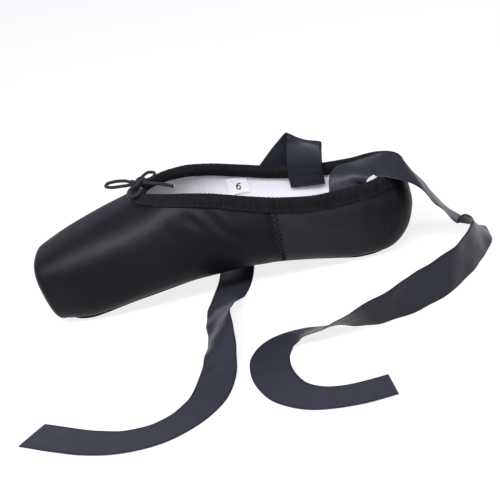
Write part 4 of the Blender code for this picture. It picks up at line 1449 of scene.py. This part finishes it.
@dataclass(frozen=True)
class Soles:
    """Leather outsole under the shoe and pale sock inside it."""

    last: Last
    thickness: float = 0.0024
    edge: float = 0.0008
    sock_thickness: float = 0.0016
    sock_edge: float = 0.0006
    sock_inset: float = 0.0028
    sock_stitch: tuple[float, float, float] = (0.0026, 0.62, 0.0002)
    outsole: Outline = Outline(
        0.0110,
        0.2165,
        0.017,
        0.016,
        Table(
            ("along", "half_width"),
            (
                (0.00, 0.470),
                (0.14, 0.545),
                (0.28, 0.565),
                (0.42, 0.480),
                (0.58, 0.395),
                (0.74, 0.390),
                (0.88, 0.425),
                (1.00, 0.415),
            ),
        ),
    )
    sock: Outline = Outline(
        0.030,
        0.196,
        0.016,
        0.011,
        Table(
            ("along", "half_width"),
            (
                (0.00, 0.550),
                (0.30, 0.585),
                (0.55, 0.510),
                (0.75, 0.500),
                (0.90, 0.505),
                (1.00, 0.480),
            ),
        ),
    )

    def underside(self, distance: np.ndarray) -> np.ndarray:
        """Height of the upper's underside at a place along the sole."""
        leaning = distance
        for _ in range(12):
            leaning = distance - self.last.foot_lean(leaning)
        size = self.last.section(leaning)
        return size["belly"] - size["down"]

    def build(self) -> None:
        """Make both pieces and the sock's stitches."""
        last = self.last
        distances = self.outsole.distances(150)
        high = self.underside(distances) - last.fit_gap
        sole = self.slab("outsole_leather", self.outsole, distances, high - self.thickness, high, self.edge)
        dress(sole, Cloth.SOLE)
        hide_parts("outsole")
        distances = self.sock.distances(130)
        low = self.underside(distances) + last.wall(distances) + 2 * last.fit_gap
        high = low + self.sock_thickness
        sock = self.slab("insole_sock", self.sock, distances, low, high, self.sock_edge)
        dress(sock, Cloth.SOCK)
        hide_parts("insole")
        self.sock_seam(distances, high)

    def slab(
        self,
        name: str,
        outline: Outline,
        distances: np.ndarray,
        low: np.ndarray,
        high: np.ndarray,
        edge: float,
    ) -> bpy.types.Object:
        """Flat piece that follows the arch, its rims rounded by a quarter circle."""
        width = outline.width(distances, self.last.ball_width)[:, None]
        turn = np.linspace(0, QUARTER, 4)
        soft = np.minimum(edge, width * 0.4)
        flat = np.linspace(-1, 1, 15)[None]
        top_y = (width - soft) * flat
        round_y = width - soft + soft * np.cos(turn)[None]
        round_z = edge * (1 - np.sin(turn))[None]
        z_low = low[:, None]
        z_high = high[:, None]
        rising = round_y[:, ::-1][:, 1:]
        y = np.concatenate((top_y, rising, round_y, -top_y[:, 1:], -rising, -round_y[:, :-1]), axis=1)
        z = np.concatenate(
            (
                np.broadcast_to(z_high, top_y.shape),
                z_high - round_z[:, ::-1][:, 1:],
                z_low + round_z,
                np.broadcast_to(z_low, top_y[:, 1:].shape),
                z_low + round_z[:, ::-1][:, 1:],
                z_high - round_z[:, :-1],
            ),
            axis=1,
        )
        x = np.broadcast_to(self.last.to_x(distances)[:, None], y.shape)
        grid = np.stack((x, y, z), axis=-1)
        caps = []
        for ring in (grid[0], grid[-1]):
            middle = ring.mean(axis=0)
            caps.append(middle + (ring - middle) * END_SHARE)
        grid = np.concatenate((caps[0][None], grid, caps[1][None]))
        return grid_object(name, grid, wrap_columns=True)

    def sock_seam(self, distances: np.ndarray, top: np.ndarray) -> None:
        """Stitches near the sock's rim."""
        inset = self.sock_inset
        keep = (distances > self.sock.start + inset) & (distances < self.sock.end - inset)
        width = self.sock.width(distances, self.last.ball_width)[keep] - inset
        x = self.last.to_x(distances[keep])
        z = top[keep]
        far = np.column_stack((x, width, z))
        near = np.column_stack((x, -width, z))[::-1]
        path = np.vstack((far, near))
        up = np.broadcast_to((0.0, 0.0, 1.0), path.shape)
        thread = stitches("insole_stitches", path, up, *self.sock_stitch, True)
        dress(thread, Cloth.PALE_THREAD)


@dataclass(frozen=True)
class Inside:
    """Heel tape, seams of the lining and the size label."""

    last: Last
    tape_width: float = 0.013
    tape_length: float = 0.035
    tape_top: float = 0.0462
    tape_distance: float = 0.2315
    tape_bend: float = 0.016
    tape_pull: float = 0.010
    tape_stitch: tuple[float, float, float] = (0.0024, 0.62, 0.00018)
    seam_stitch: tuple[float, float, float] = (0.0022, 0.85, 0.00018)
    lift: float = 0.0004
    label_distance: float = 0.131
    label_width: float = 0.0136
    label_height: float = 0.0125
    label_below_rim: float = 0.0071
    seam_below_rim: float = 0.0065
    seam_end: float = 0.024
    seam_half: float = 0.0014
    wall_reach: float = 0.031
    ink_lift: float = 0.00062
    ink_radius: float = 0.00033

    def build(self) -> None:
        """Make them all."""
        self.heel_tape()
        self.label()
        self.wall_seams()

    def heel_path(self, offset: float, count: int) -> np.ndarray:
        """Points down the middle of the heel's inside, from under the binding to near the floor."""
        z = np.linspace(self.tape_top, self.tape_top - self.tape_length * 0.9, count)
        x = np.full(count, self.last.to_x(self.tape_distance))
        rough = np.column_stack((x, np.full(count, offset), z))
        rough[:, 0] -= np.clip((self.tape_bend - z) / self.tape_bend, 0, 1) ** 2 * self.tape_pull
        placed, _ = self.last.drop(rough, True)
        return placed

    def heel_tape(self) -> None:
        """Band of tape down the heel, with a row of stitches along each edge."""
        half = self.tape_width / 2
        offsets = np.linspace(-half, half, 15)
        lines = np.stack([self.heel_path(offset, 46) for offset in offsets])
        _, normal = self.last.drop(lines, True)
        edge = np.sqrt(np.clip(1 - (np.abs(offsets) / half) ** 8, 0, 1))
        tape = lines - normal * (self.lift * edge + 0.00005)[:, None, None]
        band = grid_object("heel_tape", tape)
        dress(band, Cloth.LINING)
        for word, k in (("near", 1), ("far", -2)):
            thread = stitches(f"heel_tape_stitches_{word}", tape[k], -normal[k], *self.tape_stitch)
            dress(thread, Cloth.PALE_THREAD)

    def wall_seams(self) -> None:
        """Short cross seam of the lining on each side."""
        top = float(self.last.rim_height(LINING_SEAM)) - self.seam_below_rim
        z = np.linspace(top, self.seam_end, 40)
        x = np.full(len(z), self.last.to_x(LINING_SEAM))
        for word, side in (("near", NEAR), ("far", FAR)):
            rough = np.column_stack((x, np.full(len(z), side * self.wall_reach), z))
            seam, normal = self.last.drop(rough, True)
            for end, shift in (("toe", -self.seam_half), ("heel", self.seam_half)):
                row = seam + np.array((shift, 0, 0)) - normal * 0.0001
                thread = stitches(f"lining_stitches_{word}_{end}", row, -normal, *self.seam_stitch)
                dress(thread, Cloth.PALE_THREAD)

    def label(self) -> None:
        """White label inside the far wall, with a thin rim and a plain size number."""
        last = self.last
        x = last.to_x(self.label_distance + np.linspace(-0.5, 0.5, 22) * self.label_width)
        top = last.rim_height(self.label_distance) - self.label_below_rim
        z = float(top) - np.linspace(0, 1, 20) * self.label_height
        rough = np.stack(np.broadcast_arrays(x[:, None], self.wall_reach, z[None]), axis=-1).copy()
        placed, normal = last.drop(rough, True)
        u = np.linspace(-1, 1, 22)[:, None]
        v = np.linspace(-1, 1, 20)[None]
        rim = np.clip(1 - np.maximum(np.abs(u), np.abs(v)) ** 12, 0, 1) ** 0.5
        sheet = placed - normal * (0.00025 + 0.0003 * rim + 0.0001 * np.sin(u * 4 + v * 3))[..., None]
        label = grid_object("size_label_cloth", sheet, flip=True)
        dress(label, Cloth.LABEL)
        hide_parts("size_label")
        self.number(placed)

    def number(self, placed: np.ndarray) -> None:
        """The number 6 drawn with one bent stroke on the label."""
        turn = np.linspace(-0.5 * math.pi, 1.5 * math.pi, 26)
        bowl = np.column_stack((0.0014 * np.cos(turn), 0.0013 * np.sin(turn) - 0.0009))
        stem_turn = np.linspace(math.pi, 0.42 * math.pi, 16)
        stem = np.column_stack((0.0014 + 0.0028 * np.cos(stem_turn), 0.0030 * np.sin(stem_turn) - 0.0009))
        shape = np.vstack((bowl[9:], bowl[:9]))
        shape = np.vstack((stem[::-1], shape[8:], shape[:8]))
        middle = placed[placed.shape[0] // 2, placed.shape[1] // 2]
        x = middle[0] + shape[:, 0] * 0.9
        rough = np.column_stack((x, np.full(len(shape), middle[1]), middle[2] + shape[:, 1]))
        row, out = self.last.drop(rough, True)
        stroke = tube_grid(row - out * self.ink_lift, self.ink_radius, 8)
        mark = grid_object("size_label_number", stroke, wrap_columns=True)
        dress(mark, Cloth.INK)


# Ribbons and drawstring


@dataclass(frozen=True)
class Ribbon:
    """Satin ribbon: constant width, laid along a route, its sewn end first."""

    word: str
    route: Table
    exit: tuple[float, float, float]
    width: float = 0.022
    thickness: float = 0.00045
    clearance: float = 0.0006
    rows: int = 460
    columns: int = 23
    ripple: float = 0.00035
    sewn_length: float = 0.0095
    stitch: tuple[float, float, float] = (0.0022, 0.7, 0.00018)

    def build(self) -> None:
        rows = curve_through(np.array(self.route.rows), self.rows)
        middle = rows[:, :3].copy()
        across = unit(rows[:, 3:6])
        half = self.width / 2
        middle[:, 2] = np.maximum(middle[:, 2], np.abs(across[:, 2]) * half + self.clearance)
        ahead = unit(np.gradient(middle, axis=0))
        across = unit(across - ahead * np.sum(across * ahead, axis=1)[:, None] * 0.85)
        normal = unit(np.cross(across, ahead))
        share = np.linspace(-1, 1, self.columns)
        length = path_length(middle)
        along = np.linspace(0, length, self.rows)
        crown = rows[:, 6:7] * (0.5 - share[None] ** 2)
        wave = np.sin(along[:, None] * 210 + 2.0 * share[None] + np.sin(along[:, None] * 61))
        wave = wave + 0.6 * np.sin(along[:, None] * 330 - 2.6 * share[None])
        free = np.clip(along[:, None] / 0.02, 0, 1) * np.clip(middle[:, 2:3] / 0.004, 0.15, 1)
        height = crown + wave * self.ripple * free * (0.4 + 0.6 * np.abs(share[None]))
        face = middle[:, None] + across[:, None] * (share * half)[None, :, None]
        face = face + normal[:, None] * height[..., None]
        thin = self.thickness / 2 * np.sqrt(np.clip(1 - share**8, 0.02, 1))
        top = face + normal[:, None] * thin[None, :, None]
        bottom = face - normal[:, None] * thin[None, :, None]
        low = np.minimum(top[..., 2], bottom[..., 2])
        lift = np.maximum(0.0002 - low, 0)
        top[..., 2] += lift
        bottom[..., 2] += lift
        ring = np.concatenate((top, bottom[:, ::-1]), axis=1)
        u = np.concatenate((share * half, share[::-1] * half))
        uv = np.stack(np.broadcast_arrays(u[None], along[:, None]), axis=-1)
        strip = grid_object(f"ribbon_{self.word}_strip", ring, wrap_columns=True, flip=True, uv=uv)
        dress(strip, Cloth.RIBBON)
        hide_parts(f"ribbon_{self.word}")
        self.sewing(face, int(self.sewn_length / length * self.rows))
        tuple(self.exit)
        [tuple(point) for point in middle[::6].tolist()] + [tuple(middle[-1].tolist())]
        LOG.info("ribbon_%s: %.3f m long", self.word, length)

    def sewing(self, face: np.ndarray, last_row: int) -> None:
        """Stitches round the sewn end, on its side towards the foot.

        Args:
            face: Points of the strip's middle surface, row by row.
            last_row: Row at which the sewn part ends.
        """
        near_edge, far_edge = 2, self.columns - 3
        path = np.vstack(
            (
                face[3, near_edge:far_edge],
                face[3:last_row, far_edge],
                face[last_row, far_edge:near_edge:-1],
                face[last_row:3:-1, near_edge],
            )
        )
        up = np.zeros_like(path)
        up[:, 1] = -np.sign(self.exit[1])
        seam = path + up * self.thickness * 0.7
        thread = stitches(f"ribbon_{self.word}_stitches", seam, up, *self.stitch, True)
        dress(thread, Cloth.BLACK_THREAD)


ROUTE_COLUMNS = ("x", "y", "z", "across_x", "across_y", "across_z", "crown")
NEAR_ROUTE = Table(
    ROUTE_COLUMNS,
    (
        (0.0790, -0.0246, 0.0370, 1.00, 0.10, 0.00, 0.0000),
        (0.0790, -0.0236, 0.0420, 1.00, 0.10, 0.00, 0.0000),
        (0.0793, -0.0209, 0.0475, 1.00, 0.11, -0.03, 0.0000),
        (0.0806, -0.0188, 0.0520, 0.97, -0.10, -0.15, 0.0004),
        (0.0850, -0.0162, 0.0550, 0.72, -0.60, -0.28, 0.0008),
        (0.0905, -0.0138, 0.0556, 0.42, -0.86, -0.22, 0.0010),
        (0.0965, -0.0124, 0.0554, 0.22, -0.95, -0.20, 0.0010),
        (0.1045, -0.0145, 0.0552, 0.15, -0.92, -0.36, 0.0010),
        (0.1120, -0.0175, 0.0518, 0.12, -0.85, -0.45, 0.0010),
        (0.1188, -0.0175, 0.0455, 0.10, -0.92, -0.36, 0.0008),
        (0.1240, -0.0152, 0.0372, 0.06, -0.97, -0.22, 0.0008),
        (0.1298, -0.0122, 0.0262, 0.00, -1.00, -0.05, 0.0004),
        (0.1370, -0.0108, 0.0145, -0.10, -0.98, 0.10, 0.0000),
        (0.1440, -0.0125, 0.0074, -0.30, -0.90, 0.28, 0.0000),
        (0.1490, -0.0190, 0.0064, -0.52, -0.55, 0.60, 0.0000),
        (0.1508, -0.0320, 0.0090, -0.50, -0.15, 0.84, 0.0000),
        (0.1470, -0.0500, 0.0110, -0.20, 0.10, 0.97, 0.0000),
        (0.1380, -0.0680, 0.0112, 0.00, 0.15, 0.99, 0.0000),
        (0.1260, -0.0840, 0.0110, 0.12, 0.25, 0.96, 0.0000),
        (0.1115, -0.0960, 0.0105, 0.23, 0.36, 0.90, 0.0000),
        (0.0935, -0.1090, 0.0112, 0.14, -0.05, 0.98, 0.0000),
        (0.0800, -0.1150, 0.0105, 0.18, -0.35, 0.92, 0.0000),
        (0.0645, -0.1150, 0.0084, 0.05, -0.70, 0.71, 0.0000),
        (0.0500, -0.1110, 0.0054, 0.00, -0.90, 0.43, 0.0000),
        (0.0350, -0.1070, 0.0026, 0.05, -0.98, 0.18, 0.0000),
        (0.0240, -0.1100, 0.0012, 0.45, -0.89, 0.05, 0.0000),
        (0.0180, -0.1200, 0.0006, 0.90, -0.43, 0.00, 0.0000),
        (0.0170, -0.1350, 0.0006, 1.00, 0.05, 0.00, 0.0000),
        (0.0200, -0.1510, 0.0006, 0.95, 0.31, 0.00, 0.0000),
        (0.0270, -0.1660, 0.0006, 0.80, 0.60, 0.00, 0.0000),
        (0.0400, -0.1765, 0.0006, 0.42, 0.91, 0.00, 0.0000),
        (0.0580, -0.1800, 0.0006, 0.05, 1.00, 0.00, 0.0000),
        (0.0770, -0.1780, 0.0006, -0.12, 0.99, 0.00, 0.0000),
    ),
)
FAR_ROUTE = Table(
    ROUTE_COLUMNS,
    (
        (0.0570, 0.0268, 0.0370, 0.97, -0.09, -0.20, 0.0000),
        (0.0570, 0.0254, 0.0425, 0.98, -0.09, -0.15, 0.0000),
        (0.0572, 0.0232, 0.0490, 0.99, -0.08, -0.05, 0.0000),
        (0.0580, 0.0230, 0.0550, 0.98, -0.06, -0.15, 0.0000),
        (0.0592, 0.0250, 0.0615, 0.95, -0.03, -0.32, 0.0000),
        (0.0605, 0.0284, 0.0665, 0.90, 0.00, -0.43, 0.0000),
        (0.0590, 0.0318, 0.0660, 0.85, 0.00, -0.53, 0.0000),
        (0.0540, 0.0346, 0.0615, 0.75, 0.00, -0.66, 0.0000),
        (0.0440, 0.0380, 0.0520, 0.68, 0.00, -0.73, 0.0000),
        (0.0310, 0.0415, 0.0390, 0.68, 0.00, -0.73, 0.0000),
        (0.0190, 0.0440, 0.0260, 0.74, 0.00, -0.67, 0.0000),
        (0.0100, 0.0450, 0.0140, 0.88, 0.00, -0.48, 0.0000),
        (0.0050, 0.0435, 0.0055, 0.97, 0.00, -0.24, 0.0000),
        (0.0032, 0.0370, 0.0012, 1.00, 0.00, -0.05, 0.0000),
        (0.0028, 0.0250, 0.0006, 1.00, 0.00, 0.00, 0.0000),
        (0.0025, 0.0080, 0.0006, 1.00, -0.05, 0.00, 0.0000),
        (0.0008, -0.0120, 0.0006, 0.99, -0.12, 0.00, 0.0000),
        (-0.0025, -0.0300, 0.0008, 0.98, -0.18, 0.02, 0.0000),
        (-0.0060, -0.0480, 0.0028, 0.96, -0.16, 0.20, 0.0000),
        (-0.0080, -0.0660, 0.0060, 0.86, -0.10, 0.50, 0.0000),
        (-0.0085, -0.0850, 0.0080, 0.75, -0.05, 0.66, 0.0000),
        (-0.0088, -0.1040, 0.0068, 0.84, 0.00, 0.54, 0.0000),
        (-0.0100, -0.1220, 0.0036, 0.95, 0.00, 0.28, 0.0000),
        (-0.0130, -0.1400, 0.0010, 0.98, -0.20, 0.04, 0.0000),
        (-0.0185, -0.1560, 0.0006, 0.90, -0.44, 0.00, 0.0000),
        (-0.0290, -0.1695, 0.0006, 0.70, -0.71, 0.00, 0.0000),
        (-0.0440, -0.1780, 0.0006, 0.35, -0.94, 0.00, 0.0000),
        (-0.0620, -0.1785, 0.0006, -0.08, -1.00, 0.00, 0.0000),
        (-0.0795, -0.1720, 0.0006, -0.42, -0.91, 0.00, 0.0000),
        (-0.0960, -0.1620, 0.0006, -0.52, -0.85, 0.00, 0.0000),
        (-0.1110, -0.1520, 0.0006, -0.55, -0.84, 0.00, 0.0000),
    ),
)


@dataclass(frozen=True)
class Drawstring:
    """Bow at the throat: two round braided cords that cross in a knot, each with a loop and an end."""

    diameter: float = 0.0020
    knot_size: tuple[float, float, float] = (0.0066, 0.0056, 0.0050)
    knot_spread: float = 0.72
    knot_rise: float = 0.30
    knot_place: tuple[float, float, float] = (-0.0430, 0.0, 0.0724)
    strand: float = 0.0030
    strand_depth: float = 0.07
    exit: tuple[float, float, float] = (-0.0430, 0.0, 0.0690)
    loop_toe: tuple[tuple[float, float, float], ...] = (
        (-0.0468, 0.0012, 0.0730),
        (-0.0505, 0.0028, 0.0742),
        (-0.0568, 0.0038, 0.0750),
        (-0.0616, 0.0024, 0.0752),
        (-0.0626, -0.0006, 0.0747),
        (-0.0592, -0.0030, 0.0741),
        (-0.0530, -0.0032, 0.0735),
        (-0.0468, -0.0016, 0.0725),
    )
    loop_far: tuple[tuple[float, float, float], ...] = (
        (-0.0416, 0.0030, 0.0733),
        (-0.0394, 0.0064, 0.0742),
        (-0.0364, 0.0092, 0.0744),
        (-0.0334, 0.0090, 0.0736),
        (-0.0332, 0.0060, 0.0726),
        (-0.0356, 0.0034, 0.0722),
        (-0.0388, 0.0012, 0.0724),
    )
    end_heel: tuple[tuple[float, float, float], ...] = (
        (-0.0392, -0.0020, 0.0720),
        (-0.0350, -0.0030, 0.0712),
        (-0.0285, -0.0030, 0.0690),
        (-0.0222, -0.0024, 0.0660),
    )
    end_near: tuple[tuple[float, float, float], ...] = (
        (-0.0440, -0.0036, 0.0722),
        (-0.0470, -0.0060, 0.0718),
        (-0.0490, -0.0092, 0.0708),
        (-0.0484, -0.0124, 0.0696),
        (-0.0454, -0.0138, 0.0692),
        (-0.0424, -0.0124, 0.0700),
        (-0.0412, -0.0092, 0.0712),
    )

    def build(self) -> None:
        """Make the knot and both cords."""
        knot = self.knot()
        self.cord("toe", self.loop_toe, self.end_heel, ("bow_loop_toe", "bow_end_heel"), [knot])
        self.cord("far", self.loop_far, self.end_near, ("bow_loop_far", "bow_end_near"), [])

    def cord(self, word: str, loop: tuple, end: tuple, nodes: tuple[str, ...], knots: list) -> None:
        """One cord: out of the knot round its loop, back through the knot and out along its end."""
        middle = np.array([self.knot_place])
        over = middle + (0, 0.0004, 0.0006)
        under = middle + (0, 0, -0.0003)
        route = np.vstack((over, np.array(loop), under, np.array(end)))
        path = curve_through(route, 150)
        length = path_length(path)
        grid = self.braid(path)
        cord = grid_object(f"drawstring_{word}", grid, wrap_columns=True)
        dress(cord, Cloth.CORD)
        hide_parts(*nodes)
        tip = self.tip(path)
        tip_obj = grid_object(f"drawstring_{word}_tip", tip, wrap_columns=True)
        dress(tip_obj, Cloth.CUT_END)
        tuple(self.exit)
        LOG.info("drawstring_%s: %.3f m long", word, length)

    def braid(self, path: np.ndarray) -> np.ndarray:
        """Tube with low crossing strands: radius swells by the product of two opposite helices."""
        grid = tube_grid(path, self.diameter / 2, 20)
        angle = np.linspace(0, TURN, 21)[:-1][None]
        along = np.linspace(0, path_length(path), len(path))[:, None]
        rate = TURN / self.strand
        strand = np.sin(3 * angle + along * rate) * np.sin(3 * angle - along * rate)
        body = grid[1:-1]
        swell = 1 + self.strand_depth * strand
        grid[1:-1] = path[:, None] + (body - path[:, None]) * swell[..., None]
        return grid

    def tip(self, path: np.ndarray) -> np.ndarray:
        """Frayed pale cut at the far end."""
        ahead = unit(path[-1] - path[-4])
        line = np.stack([path[-1] - ahead * 0.0002, path[-1] + ahead * 0.0003, path[-1] + ahead * 0.0006])
        return tube_grid(line, np.array((0.00098, 0.00095, 0.0006)), 16)

    def knot(self) -> bpy.types.Object:
        """Knot as a flattened trefoil: (sin t + 2 sin 2t, cos t - 2 cos 2t, -sin 3t)."""
        turn = np.linspace(0, TURN, 181)
        size_x, size_y, size_z = self.knot_size
        path = np.column_stack(
            (
                (np.sin(turn) + 2 * np.sin(2 * turn)) / 3 * size_x * self.knot_spread,
                (np.cos(turn) - 2 * np.cos(2 * turn)) / 3 * size_y * self.knot_spread,
                -np.sin(3 * turn) * size_z * self.knot_rise,
            )
        )
        path = path + np.array(self.knot_place) + np.array((0.0, 0.0, 0.0002))
        grid = tube_grid(path, self.diameter / 2, 16)
        knot = grid_object("drawstring_knot", grid, wrap_columns=True)
        dress(knot, Cloth.CORD)
        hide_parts("bow_knot")
        return knot


# Studio


@dataclass(frozen=True)
class Studio:
    """Camera at the photograph's angle, pale floor and soft lights."""

    camera_place: tuple[float, float, float] = (0.0559, -0.7327, 0.3141)
    aim: tuple[float, float, float] = (0.0150, -0.0300, 0.0260)
    image_up: tuple[float, float, float] = (0.2179, 0.2849, 0.9335)
    lens: float = 92.0
    floor_size: float = 12.0
    floor_colour: Colour = (0.14, 0.142, 0.145)
    floor_glow: float = 0.82
    floor_roughness: float = 0.9
    world_colour: Colour = (0.92, 0.92, 1.0)
    world_strength: float = 0.30

    def camera(self) -> None:
        """Camera that looks at the aim, rolled as the photograph is."""
        data = bpy.data.cameras.new("camera")
        data.lens = self.lens
        data.clip_end = 50
        made = bpy.data.objects.new("camera", data)
        back = (Vector(self.camera_place) - Vector(self.aim)).normalized()
        right = Vector(self.image_up).cross(back).normalized()
        up = back.cross(right)
        turn = Matrix((right, up, back)).transposed().to_4x4()
        made.matrix_world = Matrix.Translation(self.camera_place) @ turn
        bpy.context.collection.objects.link(made)
        bpy.context.scene.camera = made

    def light(self, name: str, place: tuple, size: tuple[float, float], power: float, colour: Colour) -> None:
        """One rectangular soft light that points at the shoe."""
        data = bpy.data.lights.new(name, "AREA")
        data.shape = "RECTANGLE"
        data.size, data.size_y = size
        data.energy = power
        data.color = colour
        made = bpy.data.objects.new(name, data)
        back = Vector(place) - Vector((0.0, 0.0, 0.03))
        made.matrix_world = Matrix.Translation(place) @ back.to_track_quat("Z", "Y").to_matrix().to_4x4()
        bpy.context.collection.objects.link(made)

    def build(self) -> None:
        """Floor, lights and surrounding light."""
        half = self.floor_size / 2
        corners = half * np.array(((-1, -1, 0), (1, -1, 0), (1, 1, 0), (-1, 1, 0)), dtype=float)
        floor = make_object("floor", corners, np.array(((0, 1, 2, 3),)))
        paper = Plain("floor_paper", self.floor_colour, self.floor_roughness, self.floor_glow)
        floor.data.materials.append(paper.material())
        self.light("strip", (-0.10, -0.75, 1.05), (1.7, 0.42), 40.0, (0.93, 0.94, 1.0))
        self.light("toe", (-0.92, -0.47, 0.92), (0.9, 0.42), 9.0, (0.93, 0.93, 1.0))
        self.light("top", (0.0, -0.10, 1.60), (2.2, 1.2), 3.0, (0.95, 0.95, 1.0))
        self.light("back", (-0.45, 1.30, 0.75), (1.6, 0.6), 3.0, (0.78, 0.78, 1.0))
        self.light("front", (0.50, -1.30, 0.35), (0.7, 0.5), 4.0, (0.97, 0.97, 1.0))
        bpy.context.scene.view_settings.view_transform = "Standard"
        world = bpy.data.worlds.new("studio")
        world.use_nodes = True
        back = world.node_tree.nodes["Background"]
        back.inputs["Color"].default_value = (*self.world_colour, 1.0)
        back.inputs["Strength"].default_value = self.world_strength
        bpy.context.scene.world = world


def main() -> None:
    """Build camera, cords, shoe and studio in turn."""
    logging.basicConfig(level=logging.INFO, format="%(message)s")
    studio = Studio()
    studio.camera()
    Ribbon("near", NEAR_ROUTE, (0.0790, -0.0246, 0.0370)).build()
    Ribbon("far", FAR_ROUTE, (0.0570, 0.0268, 0.0370)).build()
    Drawstring().build()
    last = Last()
    Upper(last).build()
    Binding(last).build()
    SideSeam(last, NEAR).build()
    SideSeam(last, FAR).build()
    Soles(last).build()
    Inside(last).build()
    studio.build()


if __name__ == "__main__":
    main()
